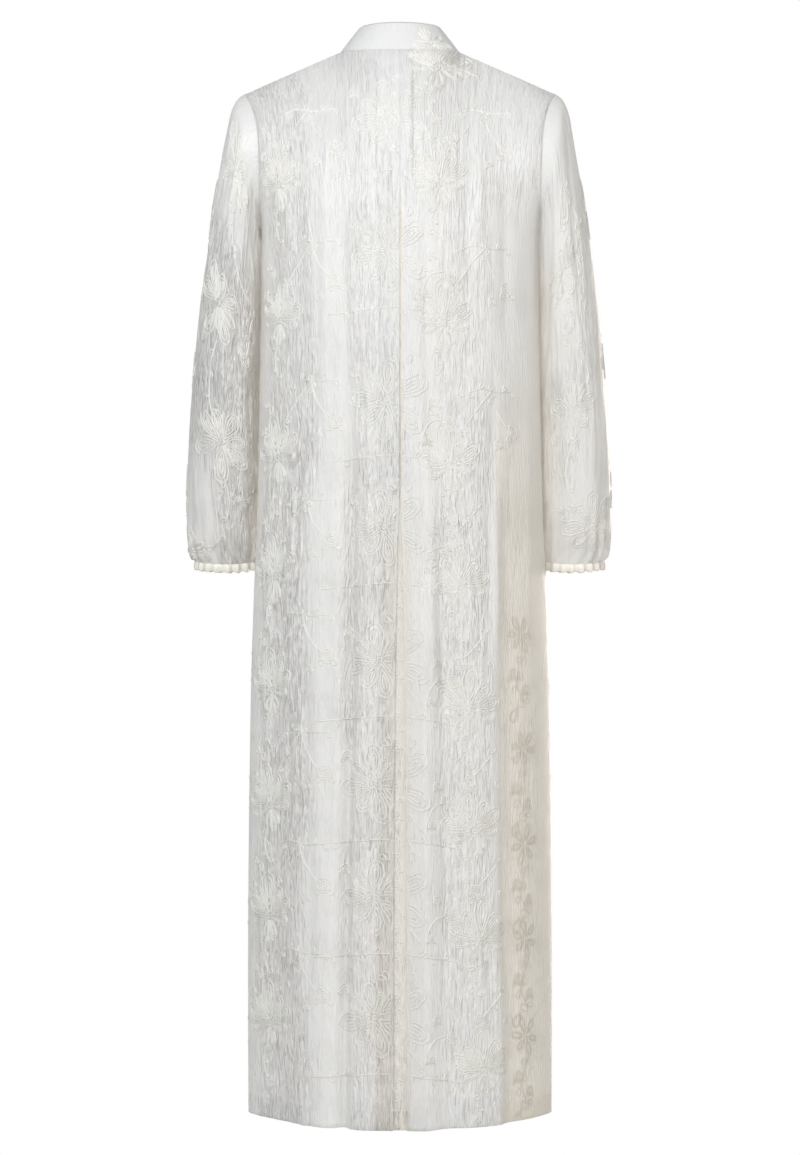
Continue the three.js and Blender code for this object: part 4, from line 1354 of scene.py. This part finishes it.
def thread_material(name, tone, shade, twist_pitch):
    """Twisted yarn: slanting bands of two tones, raised a little."""
    material = bpy.data.materials.new(name)
    material.use_nodes = True
    tree = material.node_tree
    yarn = tree.nodes["Principled BSDF"]
    for socket, value in YARN.items():
        yarn.inputs[socket].default_value = value
    place = add_node(tree, "ShaderNodeUVMap", uv_map="cord")
    turn = {"Vector": place.outputs["UV"], "Rotation": TWIST_SLANT}
    slant = add_node(tree, "ShaderNodeMapping", turn)
    bands = {
        "Vector": slant.outputs["Vector"],
        "Scale": WAVE_REPEAT / twist_pitch,
        "Distortion": TWIST_UNEVEN,
    }
    twist = add_node(tree, "ShaderNodeTexWave", bands, bands_direction="Y")
    tones = {"A": (*shade, 1), "B": (*tone, 1), "Factor": twist.outputs["Fac"]}
    colour = add_node(tree, "ShaderNodeMix", tones, data_type="RGBA")
    raised = bump(tree, twist.outputs["Fac"], TWIST_STRENGTH, TWIST_DEPTH)
    tree.links.new(colour.outputs["Result"], yarn.inputs["Base Color"])
    tree.links.new(raised.outputs["Normal"], yarn.inputs["Normal"])
    return material


CREAM, CREAM_SHADE = (0.765, 0.745, 0.695), (0.665, 0.645, 0.59)
# dark tan of the inner cord: painted shade for cord seen in silhouette through the cloth
TAN, TAN_SHADE = (0.44, 0.36, 0.26), (0.36, 0.29, 0.20)
STITCH_TONE, STITCH_SHADE = (0.80, 0.78, 0.73), (0.66, 0.63, 0.57)
CORD_TWIST, STITCH_TWIST = 0.0011, 0.0006
embroidery_thread = thread_material("embroidery_thread", CREAM, CREAM_SHADE, CORD_TWIST)
silhouette_shade_thread = thread_material("silhouette_shade_thread", TAN, TAN_SHADE, CORD_TWIST)
sewing_thread = thread_material("sewing_thread", STITCH_TONE, STITCH_SHADE, STITCH_TWIST)
print("threads:", embroidery_thread.name, silhouette_shade_thread.name, sewing_thread.name)

# %% [markdown]
# ## Drawing the flowers
#
# The pattern is an ordinary trailing garden one: big open flowers with doubled petals, small round
# buds, leaf sprays and hooked stems. Each motif is a short function that returns runs of flat
# points round its own heart, in millimetres, and a helper turns, sizes and moves it. Petals are
# drop shapes drawn two or three times, one inside another, with a scalloped outermost line.

# %% Petals and open flowers
def turned(runs, degrees, size=1.0, at=(0, 0)):
    """Runs turned anticlockwise, sized and moved."""
    angle = math.radians(degrees)
    spin = np.array([[math.cos(angle), math.sin(angle)], [-math.sin(angle), math.cos(angle)]]) * size
    return [np.asarray(run) @ spin + np.array(at) for run in runs]


DROP_OPENING, DROP_BELLY = 0.12, 0.55
PETAL_SCALLOPS, SCALLOP_HEIGHT = 9, 1.3
HEART_RADIUS = 2.6


def drop(length, width, scallops=0):
    """The outline of a petal that points up from its heart at (0, 0)."""
    t = np.linspace(DROP_OPENING, 2 * np.pi - DROP_OPENING, 20 + 5 * scallops)
    rise = (1 - np.cos(t)) / 2
    out = np.sin(t) * rise**DROP_BELLY
    wave = SCALLOP_HEIGHT * np.abs(np.sin(scallops * t / 2)) if scallops else 0
    return np.stack([(width / 1.5 + wave) * out, (length + wave) * rise], axis=1)


def petal(length, width, rich=True):
    """Drop shapes one inside another; the inner ones start further from the heart."""
    runs = [drop(length, width, PETAL_SCALLOPS if rich else 0)]
    runs += turned([drop(length * 0.74, width * 0.62)], 0, 1, (0, length * 0.16))
    if rich:
        runs += turned([drop(length * 0.44, width * 0.26)], 0, 1, (0, length * 0.33))
    return turned(runs, 0, 1, (0, 4))


def big_flower(turn, size, petals):
    """An open flower: petals of uneven length round a small ring."""
    runs = []
    for angle, length, width, rich in petals:
        runs += turned(petal(length, width, rich), angle)
    ring = np.linspace(0, 2 * np.pi, 9)
    runs.append(np.stack([HEART_RADIUS * np.cos(ring), HEART_RADIUS * np.sin(ring)], axis=1))
    return turned(runs, turn, size)


OPEN_PETALS = (
    # angle from upright, length, width, with a scalloped edge
    (0, 36, 17, True),
    (48, 30, 13, False),
    (92, 38, 17, True),
    (140, 30, 14, True),
    (182, 38, 17, True),
    (232, 43, 18, True),
    (300, 43, 18, True),
    (334, 24, 9, False),
)
FAN_PETALS = (
    (0, 44, 18, True),
    (34, 33, 13, True),
    (64, 36, 14, True),
    (98, 26, 11, False),
    (326, 33, 13, True),
    (296, 36, 14, True),
    (262, 26, 11, False),
    (160, 20, 9, False),
    (200, 20, 9, False),
    (180, 25, 9, False),
)


print("runs in an open flower:", len(big_flower(0, 1, OPEN_PETALS)))

# %% Buds, leaves and vines
LEAF_TURN, LEAF_SHAPE, VINE_END = 55, 0.55, 0.97


def bud(size=1.0):
    """A small round flower: a doubled ring in a scalloped collar, with two leaves under it."""
    t = np.linspace(0, 2 * np.pi, 22)
    rings = (2.0, 4.4) if size > 0.75 else (3.4,)
    runs = [np.stack([r * np.cos(t), 1.15 * r * np.sin(t)], axis=1) for r in rings]
    edge = 7.2 + 1.1 * np.abs(np.sin(3.5 * t))
    runs.append(np.stack([edge * np.cos(t), edge * np.sin(t)], axis=1))
    runs += turned([drop(9, 5)], 128, 1, (-3, -4)) + turned([drop(9, 5)], -128, 1, (3, -4))
    return turned(runs, 0, size)


def leaf(length, width):
    """A single small petal."""
    return [drop(length, width)]


def bent(points, count=30):
    """A smooth run through a few flat points."""
    points = np.asarray(points, float)
    return smooth_through(np.arange(len(points)), points, np.linspace(0, len(points) - 1, count))


def vine(points, leaves=5, first=0.15, leaf_length=9):
    """A stem with small leaves on alternate sides."""
    stem = bent(points)
    runs = [stem]
    for index in range(leaves):
        share = first + (VINE_END - first) * index / max(leaves - 1, 1)
        at = min(int(share * (len(stem) - 1)), len(stem) - 2)
        heading = math.degrees(math.atan2(*(stem[at + 1] - stem[at])[::-1])) - 90
        side = LEAF_TURN if index % 2 else -LEAF_TURN
        small = leaf(leaf_length, leaf_length * LEAF_SHAPE)
        runs += turned(small, heading + side, 1, stem[at])
    return runs


print("runs in a bud and in a short vine:", len(bud()), len(vine([(0, 0), (10, 20)])))

# %% [markdown]
# ## The repeat of the pattern
#
# The pattern comes in two main units that take turns across the cloth, the second half a step
# lower than the first. The first has an open fan flower with a leafy spray that curves down to a
# bud. The second has a full flower over a long vine, with hooked stems. Two smaller units fill the
# sides: one beside a bare strip below the right hip, and one for the inner side of the cloth. The
# crinkle shortens the cloth unevenly, so the units of one column aren't evenly spaced, and each is
# turned a little.

# %% Main units of the repeat
def fan_unit(rng):
    """An open fan flower and a leafy spray that curves down to a bud."""
    tilt = rng.uniform(-14, 14)
    runs = big_flower(tilt, rng.uniform(1.08, 1.22), FAN_PETALS)
    runs += vine([(12, 88), (40, 99), (72, 96), (100, 98)], 5)
    runs += vine([(60, 97), (66, 76), (80, 58), (90, 50)], 2)
    runs += turned(bud(1.15), 0, 1, (98, 46))
    runs += turned(bud(0.62), 20, 1, (70, 30))
    runs += vine([(8, 40), (24, 58), (44, 82), (60, 97)], 2)
    runs += turned(leaf(12, 7), 60, 1, (-22, 66)) + turned(leaf(12, 7), 20, 1, (-14, 56))
    runs += vine([(-4, -26), (-10, -48), (-2, -70)], 4)
    runs += turned(bud(0.8), -10, 1, (-34, 36))
    return runs


def full_unit(rng):
    """A full flower over a long vine with hooked stems."""
    tilt = rng.uniform(-12, 12)
    runs = big_flower(tilt, rng.uniform(1.1, 1.24), OPEN_PETALS)
    runs += vine([(-84, -78), (-40, -74), (10, -70), (52, -76), (96, -84)], 9)
    runs += [bent([(16, -28), (33, -50), (52, -74)])]
    runs += [bent([(46, -72), (46, -50), (56, -30), (76, -24)])]
    runs += turned(bud(0.95), -30, 1, (84, -28)) + turned(bud(0.6), 10, 1, (60, -4))
    runs += turned(bud(0.55), 0, 1, (52, -52))
    runs += turned(leaf(13, 7), 30, 1, (18, 46)) + turned(leaf(13, 7), -25, 1, (26, 44))
    runs += turned(leaf(11, 6), 75, 1, (16, 48))
    runs += turned(bud(0.7), 0, 1, (-44, 34))
    return runs


# %% Smaller units
def edge_unit(rng):
    """The flower beside the bare strip: its bud hangs on a stem from the upper right."""
    runs = big_flower(rng.uniform(-14, 14), rng.uniform(1.08, 1.22), FAN_PETALS)
    runs += vine([(34, 104), (22, 92), (10, 80), (-4, 66)], 3)
    runs += turned(bud(1.0), 20, 1, (-8, 60))
    runs += turned(leaf(12, 7), 30, 1, (38, 52)) + turned(bud(0.6), 0, 1, (-38, 40))
    runs += vine([(-4, -26), (-10, -48), (-2, -70)], 4)
    return runs


INNER_PETALS = (
    (0, 32, 12, False),
    (58, 27, 11, False),
    (116, 24, 10, False),
    (178, 30, 12, False),
    (236, 24, 10, False),
    (304, 28, 11, False),
)


def inner_unit(rng):
    """A smaller flower with a drooping stem of buds and leaves, for the inner side."""
    runs = big_flower(rng.uniform(-50, 50), rng.uniform(0.68, 0.8), INNER_PETALS)
    runs += vine([(8, -24), (-2, -42), (-8, -62), (4, -86)], 4, leaf_length=12)
    runs += turned(bud(0.9), 0, 1, (-14, -50)) + turned(bud(0.8), 0, 1, (8, -70))
    runs += turned(petal(22, 12, False), 150, 1, (-6, -88)) + turned(leaf(16, 9), 60, 1, (6, -92))
    return runs


print("runs in an inner unit:", len(inner_unit(np.random.default_rng(1))))

# %% Places of the units
# arc from the centre line at the top and at the hem, heights of the flowers, unit
BACK_COLUMNS = (
    (-184, -188, (-181, -352, -527, -677, -822, -969, -1110, -1247), fan_unit),
    (-14, -24, (-97, -270, -455, -615, -781, -935, -1077, -1227), full_unit),
    (45, 105, (-30, -184, -360, -540), fan_unit),
    (45, 105, (-690, -846, -997, -1135, -1297), edge_unit),
)
FRONT_COLUMNS = (
    (-196, -196, (-170, -330, -490, -650, -810, -970, -1130, -1280), full_unit),
    (-66, -66, (-230, -390, -550, -710, -870, -1030, -1190, -1330), fan_unit),
    (64, 64, (-150, -310, -470, -630, -790, -950, -1110, -1270), full_unit),
    (172, 186, (-190, -330, -470, -615, -761, -911, -1035, -1165, -1295), fan_unit),
)
print("flowers on the back:", sum(len(column[2]) for column in BACK_COLUMNS))

# %% Cut the runs at the edges
EDGE_MARGIN, SEAM_MARGIN, HEM_MARGIN = 4, 2, 2
CENTRE_GAP = {BACK: 1.5, FRONT: 3.5}
OFF_CLOTH = 999
# the back has no cord on its right edge below the hips
BARE_FROM, BARE_BELOW = 136, -580


def in_bounds(run, low_x, high_x, low_z, high_z, centre_gap=0):
    """The stretches of a run that lie on the cloth, and on one side of its centre line."""
    run = even_steps(run, CORD_STEP)
    x, z = run[:, 0], run[:, 1]
    inside = (x > low_x) & (x < high_x) & (z > low_z) & (z < high_z)
    inside &= np.abs(x) >= centre_gap
    pieces = np.split(np.arange(len(run)), np.flatnonzero(np.diff(inside.astype(int))) + 1)
    return [run[part] for part in pieces if inside[part[0]] and len(part) > 2]


def top_limit(side, arc):
    """Height of the top edge of a panel above a place on it, less a small margin."""
    x = share_at(arc) * SHOULDER_TIP
    on_neck = np.abs(x) < NECK_HALF_WIDTH
    top = np.where(on_neck, neck_points(side, x)[..., 2], shoulder_points(x)[..., 2])
    return top - EDGE_MARGIN


def below_top(run, side):
    """The same run, with the points above a panel's top edge moved off the cloth."""
    kept = run[:, 1] < top_limit(side, run[:, 0])
    return np.stack([run[:, 0], np.where(kept, run[:, 1], OFF_CLOTH)], axis=1)


def column_runs(side, column, seed):
    """All the runs of one column of flowers, cut off at the panel's edges."""
    top_arc, hem_arc, heights, unit = column
    rng = np.random.default_rng(seed)
    clipped = []
    for height in heights:
        arc = mix(top_arc, hem_arc, height / HEM_Z)
        seam = HALF_GIRTH - SEAM_MARGIN
        edge = BARE_FROM if side == BACK and height < BARE_BELOW else seam
        for run in turned(unit(rng), 0, 1, (arc, height)):
            run = below_top(run, side)
            clipped += in_bounds(run, -seam, edge, HEM_Z + HEM_MARGIN, 0, CENTRE_GAP[side])
    return clipped


def kept_parts(runs, *bounds):
    """The stretches of many runs that lie within the same bounds."""
    return [part for run in runs for part in in_bounds(run, *bounds)]


print("runs in one fan unit:", len(fan_unit(np.random.default_rng(1))))


# %% [markdown]
# ## Laying the embroidery
#
# Cloth is embroidered flat and cut afterwards, so its flowers run off its edges. Here the runs of
# each unit are cut at the top edge, the side seams, the hem and the folds of the pleat, and what is
# left is laid as cord. One flower crosses the neck seam: it is drawn once and laid twice, on the
# panel and on the collar. A trailing stem runs down the underlay, where the open pleat shows it.

# %% Lay the embroidery on the back
for index, column in enumerate(BACK_COLUMNS):
    runs = column_runs(BACK, column, 100 + index)
    lay_cords(f"flowers_back_{index + 1}", back_place, runs, embroidery_thread)

# %% A flower that crosses the neck seam
NECK_FLOWER_X, NECK_FLOWER_Z = 36, 2
SEAM_CLEARANCE = 3
neck_flower = turned(big_flower(12, 0.78, FAN_PETALS), 180, 1, (NECK_FLOWER_X, NECK_FLOWER_Z))
neck_flower += vine([(NECK_FLOWER_X + 8, -18), (64, -26), (84, -30), (98, -36)], 4)
kept = [run[:, 1:] < top_limit(BACK, run[:, :1]) - SEAM_CLEARANCE for run in neck_flower]
on_panel = [np.where(part, run, OFF_CLOTH) for part, run in zip(kept, neck_flower)]
on_panel = kept_parts(on_panel, 2, HALF_GIRTH, HEM_Z, 0)
lay_cords("flower_at_neck_back", back_place, on_panel, embroidery_thread)


class CollarPlace:
    """Places on the collar's outer face, by mm from the centre back and mm above the seam."""

    def __init__(self, grid):
        self.grid = grid
        self.outward = grid_outward(grid, -1)
        self.step = np.linalg.norm(np.diff(grid[3], axis=0), axis=1).mean()

    def find(self, aside, up):
        height = np.array(COLLAR_RISE) * (COLLAR_HEIGHT + NECK_DROP[BACK])
        row = len(height) - 1 - np.interp(up, height, np.arange(len(height)))
        column = (COLLAR_COLUMNS - 1) / 2 - aside / self.step
        return read_grid(self.grid, row, column), read_grid(self.outward, row, column)


COLLAR_BOUNDS = (-60, 100, 1.5, 33)
raised = [run + np.array([0, NECK_DROP[BACK]]) for run in neck_flower]
on_collar = kept_parts(raised, *COLLAR_BOUNDS)
collar_place = CollarPlace(collar_face)
collar_flower = lay_cords("flower_at_neck_collar", collar_place, on_collar, embroidery_thread)


# %% A trailing stem on the underlay of the pleat
class UnderlayPlace:
    """Places on the hidden middle of the pleat, by mm from the centre line and height."""

    def __init__(self, grid, outward):
        self.grid, self.outward = grid, outward
        self.middle = (grid.shape[1] - 1) // 2

    def find(self, aside, z):
        row = YOKE_ROWS + (UNDERARM_Z - z) / (UNDERARM_Z - HEM_Z) * (SKIRT_ROWS - 1)
        column = self.middle + aside / (PLEAT_SECTIONS[-1][4] - 3) * UNDERLAY_COLUMNS
        return read_grid(self.grid, row, column), read_grid(self.outward, row, column)


UNDERLAY_TOP, UNDERLAY_END, UNDERLAY_STEP, UNDERLAY_HALF = -640, -1340, -88, 18

underlay_runs = []
for height in range(UNDERLAY_TOP, UNDERLAY_END, UNDERLAY_STEP):
    underlay_runs += vine([(-9, height), (3, height - 22), (-4, height - 52), (8, height - 84)], 6)
    underlay_runs += turned(petal(26, 10, False), 150, 1, (4, height - 30))
    underlay_runs += turned(bud(0.7), 0, 1, (-4, height - 70))
underlay_runs = kept_parts(underlay_runs, -UNDERLAY_HALF, UNDERLAY_HALF, HEM_Z + HEM_MARGIN, 0)
underlay_place = UnderlayPlace(back_grid, back_out)
underlay_stem = lay_cords("stem_on_underlay", underlay_place, underlay_runs, embroidery_thread)

# %% Lay the embroidery on the front
FRONT_STEP = 2.6

for index, column in enumerate(FRONT_COLUMNS):
    runs = column_runs(FRONT, column, 200 + index)
    name = f"flowers_front_{index + 1}"
    lay_cords(name, front_place, runs, embroidery_thread, FRONT_STEP)

# %% [markdown]
# Down the right edge of the back, below the hips, the embroidery shows through the light cloth as a
# soft tan drawing, cord seen in silhouette against the light. So smaller flowers, buds and leaves
# are laid there on the inner face, in a flatter thread painted dark tan: painted shade that draws
# those silhouettes.

# %% Flowers on the inner side of the back
INNER_COLUMN = (168, 176, (-751, -896, -1018, -1138, -1262), inner_unit)
INNER_DEPTH = 1.1
# flat cord in dark tan: painted shade for the silhouettes of cord seen through the cloth
FLAT_CORD = {"material": silhouette_shade_thread, "width": 1.7, "height": 0.3}

inner_place = PanelPlace(BACK, back_grid - back_out * INNER_DEPTH, -back_out)
inner_runs = column_runs(FRONT, INNER_COLUMN, 203)
painted_silhouette_flowers = lay_cords("painted_silhouette_flowers", inner_place, inner_runs, **FLAT_CORD)

# %% [markdown]
# ## Flowers on the sleeves
#
# The sleeves are cut from the same cloth, so the same motifs run down them, placed by their
# distance round the arm and down from the armhole.

# %% Lay the embroidery on the sleeves
# kind, mm round the arm from its back middle (plus is outwards), mm down from the armhole, turn,
# size
SLEEVE_MOTIFS = {
    LEFT: (
        ("full", 18, 54, 0, 1.1),
        ("full", 23, 217, 30, 1.1),
        ("full", 0, 379, 60, 1.1),
        ("bud", -88, 42, 0, 1.1),
        ("bud", -36, 257, 0, 1.2),
        ("bud", -32, 455, 0, 0.9),
        ("fan", 48, 520, 10, 0.8),
        ("full", 110, 130, 40, 1.0),
        ("fan", 112, 300, 0, 1.0),
        ("full", 110, 460, -20, 1.0),
        ("fan", -150, 110, 0, 0.9),
        ("full", -150, 270, 0, 1.0),
        ("fan", -120, 440, 0, 0.9),
    ),
    RIGHT: (
        ("petal", 10, 52, 8, 1.15),
        ("bud", 45, 141, 0, 1.0),
        ("full", -10, 155, 30, 0.9),
        ("bud", -8, 242, 0, 1.0),
        ("full", -4, 336, 180, 1.0),
        ("full", 22, 490, 0, 1.05),
        ("bud", -20, 470, 0, 1.1),
        ("full", 110, 130, 40, 1.0),
        ("fan", 112, 290, 0, 1.0),
        ("full", 110, 450, -20, 1.0),
        ("fan", -150, 150, 0, 0.9),
        ("full", -150, 310, 0, 1.0),
        ("fan", -120, 470, 0, 0.9),
    ),
}
# mm round and down of the bends of each stem
SLEEVE_STEMS = {
    LEFT: (
        ((14, 90), (4, 130), (-20, 160), (-60, 174)),
        ((-60, 174), (-46, 200), (-40, 230), (-36, 250)),
        ((20, 260), (30, 300), (24, 340), (6, 360)),
        ((-52, 390), (-60, 420), (-50, 440), (-34, 448)),
        ((0, 415), (-12, 450), (-4, 490), (14, 520)),
    ),
    RIGHT: (
        ((12, 60), (30, 90), (40, 120), (44, 136)),
        ((-10, 190), (-4, 210), (-6, 232)),
        ((0, 250), (20, 280), (26, 310), (10, 326)),
        ((-6, 370), (-18, 410), (-10, 450), (10, 480)),
        ((30, 160), (36, 190), (30, 230)),
    ),
}
MOTIFS = {
    "full": lambda size: big_flower(0, size, OPEN_PETALS),
    "fan": lambda size: big_flower(0, size, FAN_PETALS),
    "petal": lambda size: turned(petal(46, 20), 0, size),
    "bud": bud,
}
AROUND_LIMIT, TOP_CLEARANCE, CUFF_CLEARANCE = 190, 5, 4

for hand, side_name in ((LEFT, "left"), (RIGHT, "right")):
    sleeve = sleeves[hand]
    sleeve["place"] = SleevePlace(hand, sleeve["grid"], sleeve["girth"], sleeve["length"])
    runs = []
    for kind, around, down, turn, size in SLEEVE_MOTIFS[hand]:
        runs += turned(MOTIFS[kind](size), turn, 1, (around, down))
    for stem in SLEEVE_STEMS[hand]:
        runs += vine(stem, 5)
    limit = sleeve["length"] - CUFF_CLEARANCE
    runs = kept_parts(runs, -AROUND_LIMIT, AROUND_LIMIT, TOP_CLEARANCE, limit)
    name = f"flowers_sleeve_{side_name}"
    sleeve["flowers"] = lay_cords(name, sleeve["place"], runs, embroidery_thread)

# %% [markdown]
# ## Sewing
#
# Stitch lines hold the garment together. Those that show are round the hem and beside the
# armholes. Each stitch is a short run of fine thread with a gap before the next, made by cutting a
# long line into dashes.

# %% Stitch lines
STITCH, STITCH_GAP, LINE_STEP = 2.6, 1.1, 0.6
FINE_CORD = {"material": sewing_thread, "step": 1.3, "width": 0.7, "height": 0.35}
HEM_SEAM_END, ARMHOLE_OFFSET = 3, 4.0


def stitch_line(low, high, height, count):
    """Stitches along a level line: a long run, cut into short dashes."""
    across = np.linspace(low, high, count)
    line = even_steps(np.stack([across, np.full_like(across, height)], axis=1), LINE_STEP)
    per_stitch, per_gap = int(STITCH / LINE_STEP), max(1, int(STITCH_GAP / LINE_STEP))
    starts = range(0, len(line) - per_stitch, per_stitch + per_gap)
    return [line[start : start + per_stitch + 1] for start in starts]


hem_half = HALF_GIRTH - HEM_SEAM_END
hem_runs = stitch_line(-hem_half, hem_half, HEM_Z + HEM_TURNING - 1, 400)
hem_back = lay_cords("hem_stitches_back", back_place, hem_runs, **FINE_CORD)
hem_front = lay_cords("hem_stitches_front", front_place, hem_runs, **FINE_CORD)

for hand, side_name in ((LEFT, "left"), (RIGHT, "right")):
    half = sleeves[hand]["girth"][1] / 2
    runs = stitch_line(-half, half, ARMHOLE_OFFSET, 300)
    name = f"armhole_stitches_{side_name}"
    lay_cords(name, sleeves[hand]["place"], runs, **FINE_CORD)
